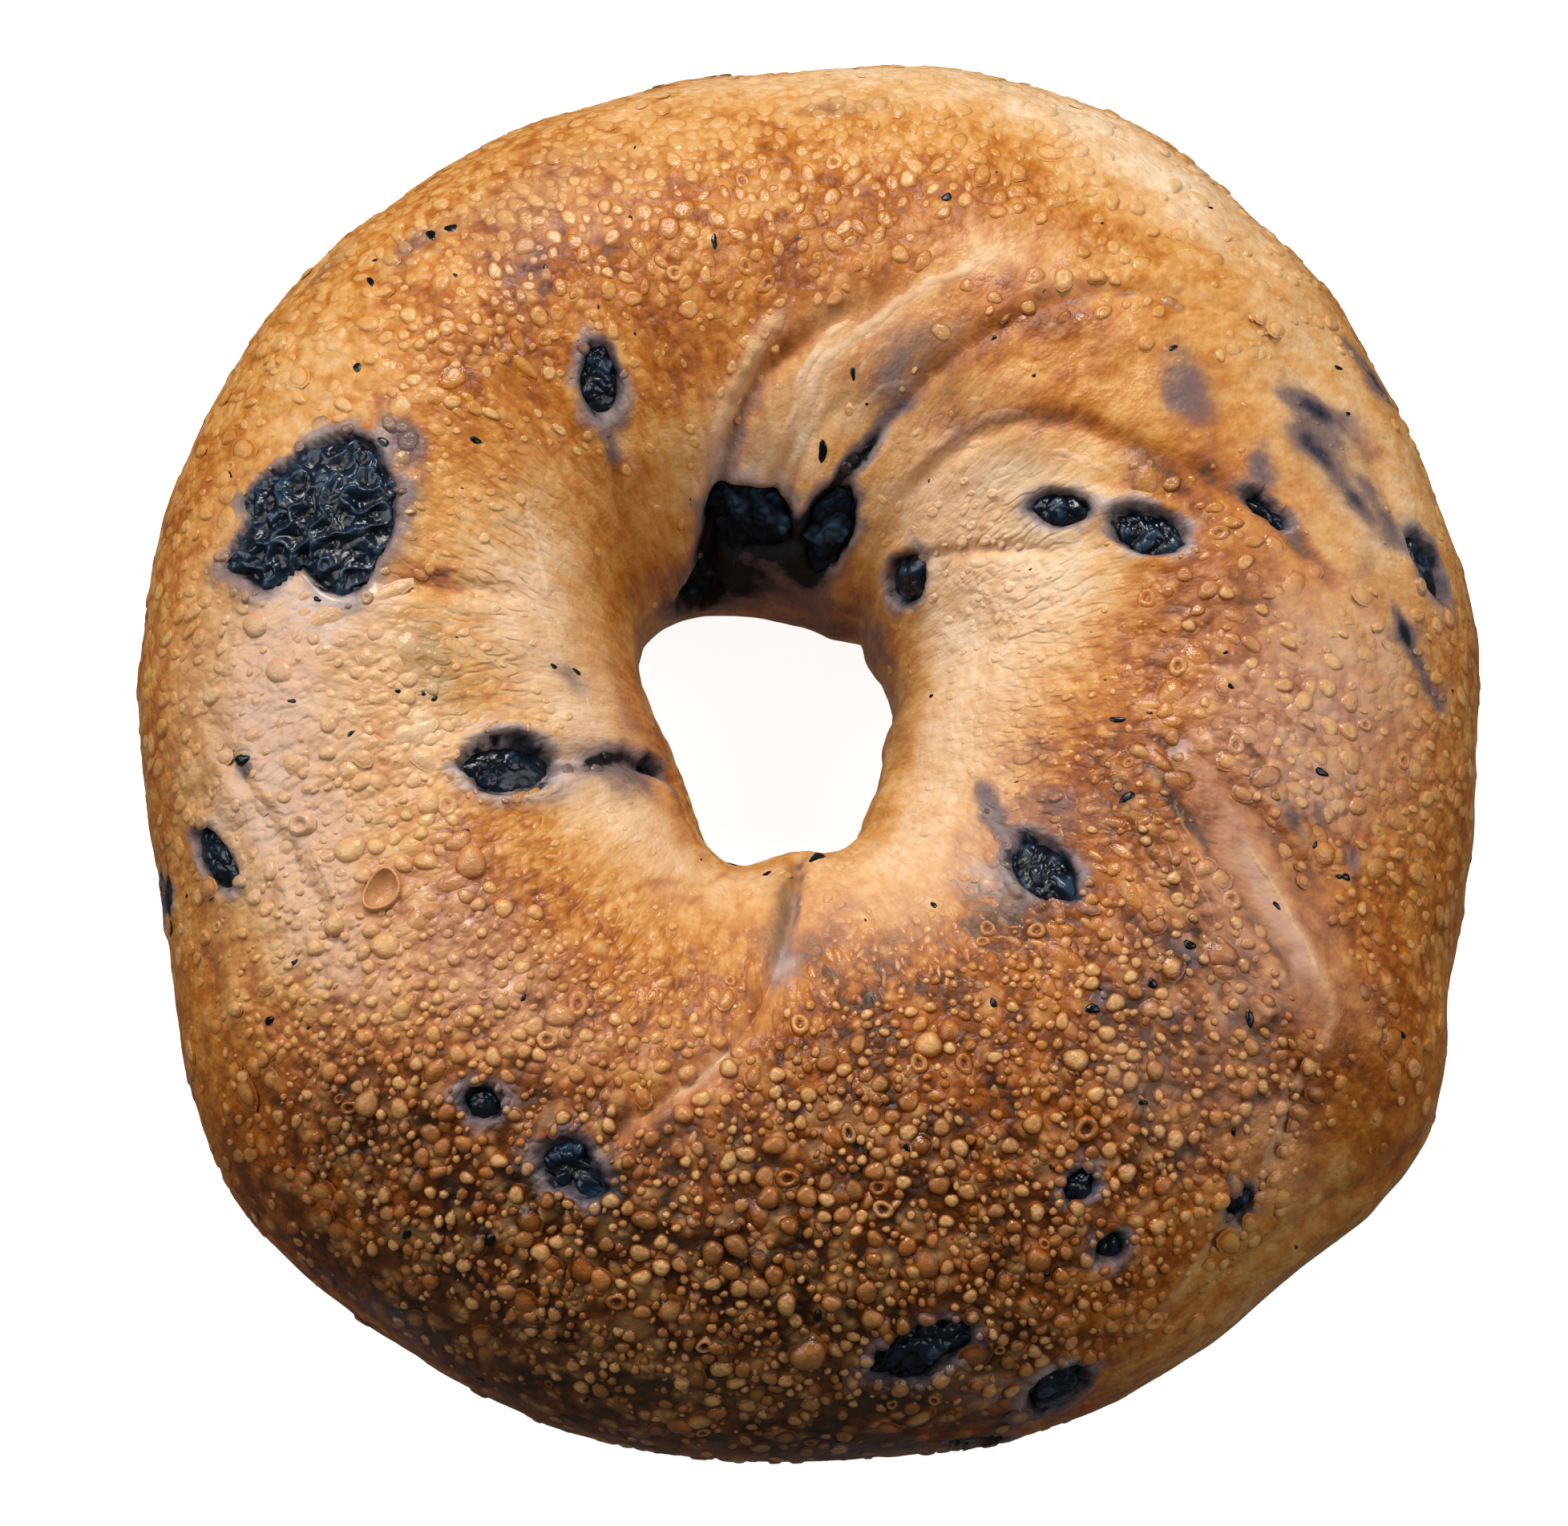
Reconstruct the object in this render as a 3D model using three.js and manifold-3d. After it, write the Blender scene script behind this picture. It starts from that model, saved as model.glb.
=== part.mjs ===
// A blueberry bagel: one ring of baked dough, with blueberries set in its crust.
//
// Millimetres, +Z up. The bagel lies on its flat base, and the origin is on that base, at the middle of
// the ring's outer box.
//
// Places on the crust are given by two angles, in degrees:
//   around  turns about the middle of the hole, counter-clockwise from +X
//   over    turns about the dough's own section: 0 is the outer waist, 90 the crown, 180 the wall of the
//           hole and 270 the base
import * as THREE from 'three'
import * as BufferGeometryUtils from 'three/addons/utils/BufferGeometryUtils.js'
import Module from 'manifold-3d'

// ---- Driving dimensions ------------------------------------------------------------------------------

const CROWN = 38 // height of the crown above the base
const WAIST = 17 // height at which the ring is widest
const BASE_EDGE = 56.25 // how far below the waist, in degrees of over, the section meets the flat base
const HOLE_AT = new THREE.Vector3(-3.9, 0.6, 0) // middle of the hole

// The rim and the hole are circles that sit a little to one side and swell where the dough rose most.
// A lobe is [around, swell in mm, spread in degrees].
const RIM = {
  radius: 57.5,
  shift: 5,
  toward: 315,
  lobes: [
    [38, 1, 5], [63, 5, 25], [111, 3, 40], [204, -5, 36], [222, 3.5, 16],
    [277, -1.5, 14], [330, 5.5, 13], [339, -5, 25], [336, -1.4, 6], [350, 0.6, 8],
  ],
}
const HOLE = {
  radius: 10,
  shift: 1,
  toward: 25,
  lobes: [[48, 1, 7], [129, 3.5, 35], [197, -1.5, 37], [259, 2.5, 20], [302, 2.5, 17], [353, -0.8, 12]],
}
// The crown isn't level either: it rises and sinks along the ring.
const CROWN_LOBES = [[20, -1, 22], [75, -1.2, 25], [150, 0.9, 30], [235, 0.6, 25], [305, 0.9, 30]]

// Folds, where one roll of dough laps over the next. depth is the crease's depth and width its half
// width. lift is how far the dough beside the crease stands up, to the right of its course or, below
// zero, to the left, and reach is how far that lift carries. The course is a list of [around, over].
const FOLDS = [
  {
    name: 'twist out of the hole',
    depth: 1.4, width: 2.2, lift: -1.5, reach: 8,
    course: [[114, 178], [101, 140], [91, 118], [75, 101], [54, 74]],
  },
  {
    name: 'lap at the back',
    depth: 1, width: 2.2, lift: -1.3, reach: 8,
    course: [[70, 146], [59, 111], [42, 68], [24, 44], [8, 37]],
  },
  {
    name: 'ledge on the right',
    depth: 1.2, width: 2, lift: -1.5, reach: 7,
    course: [[55, 139], [44, 108], [26, 86], [10, 66], [2, 54]],
  },
  {
    name: 'stretch mark on the right',
    depth: 0.9, width: 1.8, lift: 0.5, reach: 5,
    course: [[348, 91], [337, 76], [328, 57]],
  },
  {
    name: 'valley beside the corner',
    depth: 1.1, width: 3, lift: 0.9, reach: 6,
    course: [[330, 5], [319, 20], [308, 25], [298, 20]],
  },
  {
    name: 'shoulder on the left of the hole',
    depth: 0.9, width: 2.6, lift: 0.6, reach: 6,
    course: [[128, 86], [131, 108], [133, 134], [140, 164]],
  },
  {
    name: 'strip beside the glossy berry',
    depth: 1, width: 2, lift: 0.6, reach: 5,
    course: [[205, 108], [209, 136], [221, 166]],
  },
  {
    name: 'crease across the front',
    depth: 1, width: 1.8, lift: -0.7, reach: 6,
    course: [[284, 156], [276, 125], [268, 102], [256, 82], [249, 63]],
  },
]
const FOLD_FADE = 6 // a fold fades in and out over this length at its ends
const FOLD_RISE = 1.2 // the raised side comes up from the crease over this distance
const FOLD_WAIST = 0.3 // and runs out at the waist below this share of the crown's rise
const FOLD_STEPS = 6 // straight pieces to each stretch of a course

// Berries. length and width are what shows at the crust, and turn is how far the length points away from
// the way around, towards the hole.
const BERRIES = [
  { name: 'berry_big_left', around: 161.5, over: 75, length: 13.6, width: 13.2, turn: 134 },
  { name: 'berry_upper_left', around: 118.5, over: 111.5, length: 5.8, width: 3.3, turn: 68 },
  { name: 'berry_hole_back', around: 93, over: 149, length: 7, width: 6, turn: 176 },
  { name: 'berry_hole_back_right', around: 68, over: 146, length: 7.6, width: 4, turn: -100 },
  { name: 'berry_hole_low', around: 114, over: 174, length: 6, width: 3.8, turn: -115 },
  { name: 'berry_hole_right', around: 39.2, over: 147, length: 4.6, width: 3.6, turn: -80 },
  { name: 'berry_eye_left', around: 28.2, over: 110, length: 5, width: 2.8, turn: -124 },
  { name: 'berry_eye_right', around: 18.8, over: 97, length: 6.2, width: 3.5, turn: -128 },
  { name: 'berry_glossy_left', around: 204, over: 112.5, length: 7.5, width: 4.9, turn: 95 },
  { name: 'berry_strip_left', around: 216.2, over: 154.5, length: 3.4, width: 2.6, turn: 75 },
  { name: 'berry_edge_left', around: 199, over: 42, length: 6.1, width: 3, turn: 29 },
  { name: 'berry_waist_left', around: 197.8, over: 12, length: 5.9, width: 3.5, turn: 94 },
  { name: 'berry_inner_right', around: 321.8, over: 110.5, length: 6.9, width: 3.9, turn: -101 },
  { name: 'berry_front_round', around: 239.8, over: 70.5, length: 3, width: 2.6, turn: 31 },
  { name: 'berry_front_crumbly', around: 251.2, over: 68.5, length: 5.2, width: 3.9, turn: 5 },
  { name: 'berry_edge_right', around: 11, over: 35, length: 5.7, width: 3.2, turn: -159 },
  { name: 'berry_ledge_right', around: 17.5, over: 73, length: 4.3, width: 2.2, turn: -145 },
  { name: 'berry_shoulder_right', around: 300, over: 61.5, length: 2.6, width: 2.1, turn: 5 },
  { name: 'berry_bead_right', around: 311.2, over: 39, length: 2.6, width: 2.2, turn: 46 },
  { name: 'berry_bead_front', around: 300, over: 48, length: 2.4, width: 2, turn: 0 },
  { name: 'berry_low_front', around: 282.8, over: 37.5, length: 7.8, width: 4.6, turn: 27 },
  { name: 'berry_rim_front', around: 292.5, over: 19.5, length: 5.7, width: 4.6, turn: 47 },
  { name: 'berry_rim_front_low', around: 286, over: 0, length: 5.7, width: 3.4, turn: -42 },
  { name: 'berry_side_back', around: 96, over: 12, length: 7.4, width: 5.6, turn: 20 },
  { name: 'berry_side_back_left', around: 136, over: -14, length: 4.8, width: 3.6, turn: 70 },
  { name: 'berry_side_back_right', around: 58, over: -10, length: 5.4, width: 3.4, turn: -30 },
  { name: 'berry_side_left', around: 172, over: -22, length: 5.2, width: 3.8, turn: 10 },
  { name: 'berry_side_right', around: 342, over: -18, length: 6, width: 4.4, turn: -50 },
  { name: 'berry_side_front', around: 252, over: -26, length: 4.4, width: 3.2, turn: 60 },
  { name: 'berry_hole_front', around: 268, over: 186, length: 5, width: 3.6, turn: 15 },
]
const BERRY_THICK = 0.75 // a berry's thickness, as a share of its showing width
const BERRY_THICK_LEAST = 2.4
const BERRY_THICK_MOST = 6.5
const BERRY_PROUD = 0.2 // how much of its thickness stands out of the crust
const BERRY_WRINKLE = 0.09 // how deep a dried skin folds, as a share of the radius
const WRINKLES = new THREE.Vector3(3, 4, 5) // folds of the skin along each of a berry's own axes
const POCKET_GAP = 0.3 // between a berry and the dough round it

const SMALL_BERRY = 5 // a berry that shows less than this gets the plainer mesh

// Mesh steps
const AROUND_STEPS = 84
const UPPER_STEPS = 18 // from the outer waist over the crown to the wall of the hole
const SIDE_STEPS = 4 // from each waist down to the flat base
const BASE_STEPS = 2 // across the flat base

// ---- The ring's surface ------------------------------------------------------------------------------

const radians = THREE.MathUtils.degToRad
const turnBetween = (a, b) => THREE.MathUtils.euclideanModulo(a - b + 180, 360) - 180

function swell(lobes, around) {
  return lobes.reduce((sum, [at, rise, spread]) => {
    return sum + rise * Math.exp(-((turnBetween(around, at) / spread) ** 2))
  }, 0)
}

function outline({ radius, shift, toward, lobes }, around) {
  return radius + shift * Math.cos(radians(around - toward)) + swell(lobes, around)
}

// A point of the smooth ring, before folds. The upper half of the section is half an ellipse, and the
// lower half one that the flat base cuts off.
function ringPoint(around, over) {
  const rim = outline(RIM, around)
  const hole = outline(HOLE, around)
  const reach = (rim + hole) / 2 + ((rim - hole) / 2) * Math.cos(radians(over))
  const rise = Math.sin(radians(over))
  const upper = WAIST + (CROWN + swell(CROWN_LOBES, around) - WAIST) * rise
  const lower = Math.max(0, WAIST * (1 + rise / Math.sin(radians(BASE_EDGE))))
  const height = rise > 0 ? upper : lower
  return new THREE.Vector3(reach * Math.cos(radians(around)), reach * Math.sin(radians(around)), height)
}

// Unit directions at a place: the way around, the way over towards the hole, and out of the crust. They
// are taken from points this many degrees to either side.
const BESIDE = 0.5
function directions(around, over) {
  const way = ringPoint(around + BESIDE, over).sub(ringPoint(around - BESIDE, over)).normalize()
  const inward = ringPoint(around, over + BESIDE).sub(ringPoint(around, over - BESIDE))
  const out = way.clone().cross(inward).normalize()
  return { way, inward: out.clone().cross(way), out }
}

// ---- Folds -------------------------------------------------------------------------------------------

function foldLine({ course }) {
  const flat = course.map(([around, over]) => new THREE.Vector3(around, over, 0))
  const curve = new THREE.CatmullRomCurve3(flat)
  return curve.getPoints((course.length - 1) * FOLD_STEPS).map((place) => ringPoint(place.x, place.y))
}

// How far a fold moves the crust in or out at a point of the ring.
function foldMove(fold, point, out) {
  const { line, depth, width, lift, reach } = fold
  let nearest = Infinity
  let side = 0
  let along = 0
  let length = 0
  for (let i = 0; i + 1 < line.length; i++) {
    const run = line[i + 1].clone().sub(line[i])
    const share = THREE.MathUtils.clamp(point.clone().sub(line[i]).dot(run) / run.lengthSq(), 0, 1)
    const offset = point.clone().sub(line[i].clone().addScaledVector(run, share))
    if (offset.length() < nearest) {
      nearest = offset.length()
      side = Math.sign(run.clone().cross(out).dot(offset))
      along = length + share * run.length()
    }
    length += run.length()
  }
  const ends = THREE.MathUtils.smoothstep(Math.min(along, length - along), -FOLD_FADE / 2, FOLD_FADE)
  const crease = -depth * Math.exp(-((nearest / width) ** 2))
  const rise = Math.abs(lift) * (1 - Math.exp(-nearest / FOLD_RISE)) * Math.exp(-nearest / reach)
  return ends * (crease + (side === Math.sign(lift) ? rise : 0))
}

const foldLines = FOLDS.map((fold) => ({ ...fold, line: foldLine(fold) }))

// A point of the crust. The folds run out at the waist.
function crustPoint(around, over) {
  const point = ringPoint(around, over)
  const { out } = directions(around, over)
  const move = foldLines.reduce((sum, fold) => sum + foldMove(fold, point, out), 0)
  const aboveWaist = THREE.MathUtils.smoothstep(Math.sin(radians(over)), 0, FOLD_WAIST)
  return point.addScaledVector(out, move * aboveWaist)
}

// ---- Solids ------------------------------------------------------------------------------------------

// The angles over at which the section has a corner, once round.
function sectionAngles() {
  const angles = []
  const spread = (from, to, steps) => {
    for (let i = 0; i < steps; i++) angles.push(from + ((to - from) * i) / steps)
  }
  spread(0, 180, UPPER_STEPS)
  spread(180, 180 + BASE_EDGE, SIDE_STEPS)
  spread(180 + BASE_EDGE, 360 - BASE_EDGE, BASE_STEPS)
  spread(360 - BASE_EDGE, 360, SIDE_STEPS)
  return angles
}

function crustGeometry() {
  const overs = sectionAngles()
  const positions = []
  for (let i = 0; i < AROUND_STEPS; i++) {
    const around = (360 * i) / AROUND_STEPS
    for (const over of overs) positions.push(...crustPoint(around, over).toArray())
  }
  const corner = (i, j) => (i % AROUND_STEPS) * overs.length + (j % overs.length)
  const faces = []
  for (let i = 0; i < AROUND_STEPS; i++) {
    for (let j = 0; j < overs.length; j++) {
      const [a, b, c, d] = [corner(i, j), corner(i + 1, j), corner(i + 1, j + 1), corner(i, j + 1)]
      faces.push(a, b, c, a, c, d)
    }
  }
  const geometry = new THREE.BufferGeometry()
  geometry.setAttribute('position', new THREE.Float32BufferAttribute(positions, 3))
  geometry.setIndex(faces)
  return geometry
}

// A berry in its own frame: length along X, width along Y, and Z out of the crust. Its skin has dried into
// broad wrinkles. grow makes it larger all round, for its pocket.
function berryGeometry(berry, grow = 0) {
  const { length, width, thick } = berry
  const small = length < SMALL_BERRY
  const ball = small ? new THREE.OctahedronGeometry(1, 1) : new THREE.IcosahedronGeometry(1, 1)
  ball.deleteAttribute('normal')
  ball.deleteAttribute('uv')
  const geometry = BufferGeometryUtils.mergeVertices(ball)
  // Sunk by its buried share, the berry is wider in the dough than where it shows.
  const sunk = 1 - 2 * BERRY_PROUD
  const widen = 1 / Math.sqrt(1 - sunk * sunk)
  const half = new THREE.Vector3((length * widen) / 2, (width * widen) / 2, thick / 2).addScalar(grow)
  const corners = geometry.getAttribute('position')
  const phase = berry.around + berry.over
  for (let i = 0; i < corners.count; i++) {
    const corner = new THREE.Vector3().fromBufferAttribute(corners, i)
    const turn = corner.clone().multiply(WRINKLES)
    const wrinkle = Math.sin(turn.x + phase) * Math.cos(turn.y - phase) + Math.sin(turn.z)
    corner.multiplyScalar(1 + (BERRY_WRINKLE / 2) * wrinkle)
    corners.setXYZ(i, ...corner.multiply(half).toArray())
  }
  return geometry
}

// Puts a berry where it belongs in the crust.
function placeBerry(mesh, berry) {
  const { around, over, turn, thick } = berry
  const { way, out } = directions(around, over)
  const along = way.clone().applyAxisAngle(out, radians(turn))
  const across = out.clone().cross(along)
  mesh.quaternion.setFromRotationMatrix(new THREE.Matrix4().makeBasis(along, across, out))
  mesh.position.copy(crustPoint(around, over)).addScaledVector(out, -thick * (0.5 - BERRY_PROUD))
  mesh.updateMatrix()
}

// ---- Cutting the pockets -----------------------------------------------------------------------------

const wasm = await Module()
wasm.setup()

function toSolid(geometry) {
  const vertProperties = new Float32Array(geometry.getAttribute('position').array)
  const triVerts = new Uint32Array(geometry.getIndex().array)
  return new wasm.Manifold(new wasm.Mesh({ numProp: 3, vertProperties, triVerts }))
}

function toGeometry(solid) {
  const { vertProperties, triVerts } = solid.getMesh()
  const geometry = new THREE.BufferGeometry()
  geometry.setAttribute('position', new THREE.BufferAttribute(vertProperties, 3))
  geometry.setIndex(new THREE.BufferAttribute(triVerts, 1))
  return geometry
}

// ---- The bagel ---------------------------------------------------------------------------------------

const crust = new THREE.MeshStandardMaterial({ color: 0xb8763a, roughness: 0.45, metalness: 0 })
const berrySkin = new THREE.MeshStandardMaterial({ color: 0x10141f, roughness: 0.35, metalness: 0 })

const bagel = new THREE.Group()
bagel.position.copy(HOLE_AT)

let dough = toSolid(crustGeometry())
for (const shown of BERRIES) {
  const thick = THREE.MathUtils.clamp(shown.width * BERRY_THICK, BERRY_THICK_LEAST, BERRY_THICK_MOST)
  const berry = { ...shown, thick }
  const mesh = new THREE.Mesh(berryGeometry(berry), berrySkin)
  mesh.name = berry.name
  placeBerry(mesh, berry)
  bagel.add(mesh)
  dough = dough.subtract(toSolid(berryGeometry(berry, POCKET_GAP).applyMatrix4(mesh.matrix)))
}

const ring = new THREE.Mesh(toGeometry(dough), crust)
ring.name = 'bagel'
bagel.add(ring)

export default bagel
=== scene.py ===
# %% [markdown]
# # A blueberry bagel
#
# This lesson gives a packed bagel its looks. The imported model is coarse: one dough ring and the berries
# in it. Everything finer is made here: the blistered skin, the folds and stretch marks, the wrinkled
# berries and the colours of baking.
#
# Lengths are worked out in millimetres, because that is how one thinks of a bagel, and turned into
# Blender's metres when a mesh is made.

import math

import bpy
import numpy as np
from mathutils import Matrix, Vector


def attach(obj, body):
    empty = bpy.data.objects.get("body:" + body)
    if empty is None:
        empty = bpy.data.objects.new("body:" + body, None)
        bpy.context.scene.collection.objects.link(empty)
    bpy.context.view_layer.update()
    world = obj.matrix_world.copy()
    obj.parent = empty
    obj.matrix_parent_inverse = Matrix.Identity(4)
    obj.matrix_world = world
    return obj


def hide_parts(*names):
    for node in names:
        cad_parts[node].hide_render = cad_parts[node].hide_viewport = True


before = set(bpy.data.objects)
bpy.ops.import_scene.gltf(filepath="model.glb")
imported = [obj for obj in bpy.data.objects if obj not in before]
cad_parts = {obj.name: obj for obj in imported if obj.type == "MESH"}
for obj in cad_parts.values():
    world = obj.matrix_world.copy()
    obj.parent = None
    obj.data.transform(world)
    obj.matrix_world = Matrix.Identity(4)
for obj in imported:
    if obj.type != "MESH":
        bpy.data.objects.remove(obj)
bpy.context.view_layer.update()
bpy.ops.object.select_all(action="DESELECT")

MM = 0.001  # one millimetre in metres
BERRIES = sorted(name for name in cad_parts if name.startswith("berry_"))
print("berries:", len(BERRIES))

# %% [markdown]
# ## The ring
#
# A bagel is a rope of dough closed into a ring. It is widest at its waist, domed above it, and flat where
# it lay on the tray. A plain torus has none of that, so each place on the ring is given by two angles and
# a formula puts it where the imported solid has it. *around* turns about the hole. *over* turns about the
# dough's own section: 0 is the outer waist, 90 the crown, 180 the wall of the hole and 270 the base.
#
# Dough never rises evenly, so the rim and the hole are circles with lobes: [around, swell, spread].

# %% The ring's sizes
CROWN = 38.0  # mm from the tray to the top of the dough
WAIST = 17.0  # mm from the tray to its widest place
BASE_EDGE = 56.25  # degrees below the waist where the flat base begins
HOLE_AT = np.array([-3.9, 0.6, 0.0])
RIM = {
    "radius": 57.5, "shift": 5, "toward": 315,
    "lobes": [
        [38, 1, 5], [63, 5, 25], [111, 3, 40], [204, -5, 36], [222, 3.5, 16],
        [277, -1.5, 14], [330, 5.5, 13], [339, -5, 25], [336, -1.4, 6], [350, 0.6, 8],
    ],
}
HOLE = {
    "radius": 10, "shift": 1, "toward": 25,
    "lobes": [[48, 1, 7], [129, 3.5, 35], [197, -1.5, 37], [259, 2.5, 20], [302, 2.5, 17], [353, -0.8, 12]],
}
CROWN_LOBES = [[20, -1, 22], [75, -1.2, 25], [150, 0.9, 30], [235, 0.6, 25], [305, 0.9, 30]]
print("lobes of the rim, hole and crown:", len(RIM["lobes"]), len(HOLE["lobes"]), len(CROWN_LOBES))


# %% Points and directions on the ring
def turn_between(a, b):
    """The turn from b to a, in degrees from -180 to 180."""
    return (a - b + 180) % 360 - 180


def swell(lobes, around):
    """The sum of the lobes at each angle."""
    return sum(rise * np.exp(-((turn_between(around, at) / spread) ** 2)) for at, rise, spread in lobes)


def outline(ring, around):
    """The radius in mm of the rim or the hole at each angle."""
    shift = ring["shift"] * np.cos(np.radians(around - ring["toward"]))
    return ring["radius"] + shift + swell(ring["lobes"], around)


def ring_points(around, over):
    """The smooth ring's points, before folds, for arrays of the two angles."""
    rim, hole = outline(RIM, around), outline(HOLE, around)
    reach = (rim + hole) / 2 + (rim - hole) / 2 * np.cos(np.radians(over))
    rise = np.sin(np.radians(over))
    upper = WAIST + (CROWN + swell(CROWN_LOBES, around) - WAIST) * rise
    lower = np.maximum(0, WAIST * (1 + rise / math.sin(math.radians(BASE_EDGE))))
    height = np.where(rise > 0, upper, lower)
    turn = np.radians(around)
    return np.stack([reach * np.cos(turn), reach * np.sin(turn), height], -1) + HOLE_AT


def unit(vectors):
    return vectors / np.maximum(np.linalg.norm(vectors, axis=-1, keepdims=True), 1e-9)


def ring_directions(around, over):
    """Unit vectors at each place: the way around, the way over and out of the dough."""
    way = unit(ring_points(around + 0.5, over) - ring_points(around - 0.5, over))
    inward = ring_points(around, over + 0.5) - ring_points(around, over - 0.5)
    out = unit(np.cross(way, inward))
    return way, np.cross(out, way), out


print("the rim spans", np.ptp(ring_points(np.arange(0.0, 360.0), 0.0), axis=0)[:2].round(1), "mm")

# %% [markdown]
# ## Soft noise
#
# Baking leaves nothing regular, and most fields below are broken up with noise. Blender's own noise
# textures colour a surface, but can't be asked where a vertex should go without a modifier for each use.
# A few lines of gradient noise on arrays do that for a hundred thousand vertices at once, and always
# give the same answer.

# %% Noise on arrays
def corner_slopes(cell, seed):
    """A pseudo-random slope at each corner of a grid, from whole-number cell indices. The large numbers
    are the usual ones for mixing the bits of a whole number, and mean nothing else."""
    mixed = cell[..., 0] * 73856093 ^ cell[..., 1] * 19349663 ^ cell[..., 2] * 83492791 ^ (seed * 7919 + 13)
    slopes = []
    for _ in range(3):
        mixed = (mixed ^ (mixed >> 15)) * 2246822519 & 0xFFFFFFFF
        mixed = (mixed ^ (mixed >> 13)) * 3266489917 & 0xFFFFFFFF
        slopes.append(mixed / 0x7FFFFFFF - 1)
    return np.stack(slopes, -1)


def cloud(points, size, seed=0):
    """Soft noise, mostly from -1 to 1, with bumps about size across."""
    q = np.asarray(points) / size + 0.37
    cell = np.floor(q).astype(np.int64)
    part = q - cell
    fade = part * part * part * (part * (part * 6 - 15) + 10)
    total = 0
    for corner in np.ndindex(2, 2, 2):
        weight = np.where(corner, fade, 1 - fade).prod(-1)
        total = total + weight * (corner_slopes(cell + corner, seed) * (part - corner)).sum(-1)
    return total * 1.5


def ease(value, low, high):
    """0 below low, 1 above high and a smooth step between."""
    share = np.clip((value - low) / (high - low), 0, 1)
    return share * share * (3 - 2 * share)


print("a little noise:", cloud([[0, 0, 0], [3, 0, 0], [6, 0, 0]], 5).round(2))

# %% [markdown]
# ## Folds
#
# The rope was rolled and twisted before it was joined, and it shows: one roll laps over the next, and the
# skin between was stretched. Folds could be sculpted by hand, but a fold is one simple thing repeated: a
# crease along a course, with the dough on one side standing up. So each fold is a few numbers, and its
# course is a short list of [around, over].
#
# A fold's *lift* raises the dough to the right of its course, or to the left when it is below zero.

# %% The folds
FOLDS = [
    # depth at the start and at the end, half width, lift, reach of the lift, course
    (2.2, 0.0, 1.0, -0.6, 9, [[114, 178], [101, 140], [93, 121], [84, 110], [70, 96]]),
    (0.3, 0.3, 0.6, -0.4, 9, [[70, 146], [62, 116], [48, 78], [30, 50], [8, 37]]),
    (0.2, 0.5, 0.8, -0.6, 5, [[55, 139], [44, 108], [30, 91], [12, 68], [2, 54]]),
    (0.3, 0.3, 0.8, 0.25, 4, [[346, 94], [340, 88], [332, 79], [329, 68], [327, 60]]),
    (0.4, 0.4, 2.4, 0.5, 6, [[330, 5], [319, 20], [308, 25], [298, 20]]),
    (0.4, 0.6, 2.4, 0.5, 6, [[128, 86], [131, 108], [133, 134], [140, 164]]),
    (0.6, 1.2, 1.0, 0.6, 5, [[205, 112], [209, 136], [221, 166]]),
    (0.9, 0.4, 0.6, -0.6, 6, [[284, 156], [276, 125], [268, 102], [256, 82], [249, 63]]),
    # finer ones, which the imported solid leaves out
    (0.5, 0.5, 0.6, 0.4, 3, [[44, 148], [32, 130], [20, 113]]),
    (0.3, 0.3, 0.8, -0.25, 4, [[348, 91], [343, 82], [339, 70], [334, 62], [332, 58]]),
    (0.4, 0.4, 0.7, 0.3, 3, [[312, 72], [310, 68], [304, 57]]),
    (0.6, 0.4, 0.9, -0.4, 4, [[324, 61], [317, 44], [304, 31]]),
    (0.9, 0.5, 0.6, 0.3, 3, [[120, 120], [125, 131], [132, 146]]),
    (0.5, 0.5, 0.9, 0.5, 4, [[170, 88], [168, 102], [164, 125]]),
    (0.4, 0.4, 0.8, 0.3, 3, [[184, 48], [199, 59], [214, 68], [222, 71]]),
    (0.4, 0.4, 0.7, 0.3, 3, [[82, 150], [79, 132], [72, 118]]),
    (0.5, 0.5, 0.7, -0.3, 3, [[90, 160], [86, 140], [80, 124]]),
]
FOLD_FADE = 6.0  # mm over which a fold fades at each end
FOLD_RISE = 0.9  # mm from the crease within which the lift rises
FOLD_WAIST = 0.3  # the sine of the angle over below which folds fade away
print("folds:", len(FOLDS))


# %% Courses and the distance from them
def smooth_places(course, steps=10):
    """Places along a Catmull-Rom curve through the course."""
    knots = np.array([course[0], *course, course[-1]], float)
    places = []
    for a, b, c, d in zip(knots, knots[1:], knots[2:], knots[3:]):
        for t in np.arange(steps) / steps:
            bend = (2 * a - 5 * b + 4 * c - d) * t**2 + (3 * b - a - 3 * c + d) * t**3
            places.append((2 * b + (c - a) * t + bend) / 2)
    return np.array([*places, course[-1]])


def smooth_course(course, steps=10):
    """The same curve as points on the ring, in mm."""
    return ring_points(*smooth_places(course, steps).T)


def along_line(points, line):
    """For each point: its distance to a line, its offset from it, the line's way there, how far along
    it lies and how long the line is."""
    best = np.full(len(points), np.inf)
    side = np.zeros((len(points), 3))
    run_at = np.zeros((len(points), 3))
    along = np.zeros(len(points))
    done = 0.0
    for start, end in zip(line, line[1:]):
        run = end - start
        share = np.clip((points - start) @ run / (run @ run), 0, 1)
        offset = points - start - share[:, None] * run
        far = np.linalg.norm(offset, axis=1)
        near = far < best
        best[near], side[near], run_at[near] = far[near], offset[near], run
        along[near] = done + share[near] * np.linalg.norm(run)
        done += np.linalg.norm(run)
    return best, side, run_at, along, done


# %% [markdown]
# Along its course each fold digs a groove with a round bottom, and the dough on its raised side stands up
# steeply from it and then sinks back slowly, like the edge of a blanket.

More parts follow.
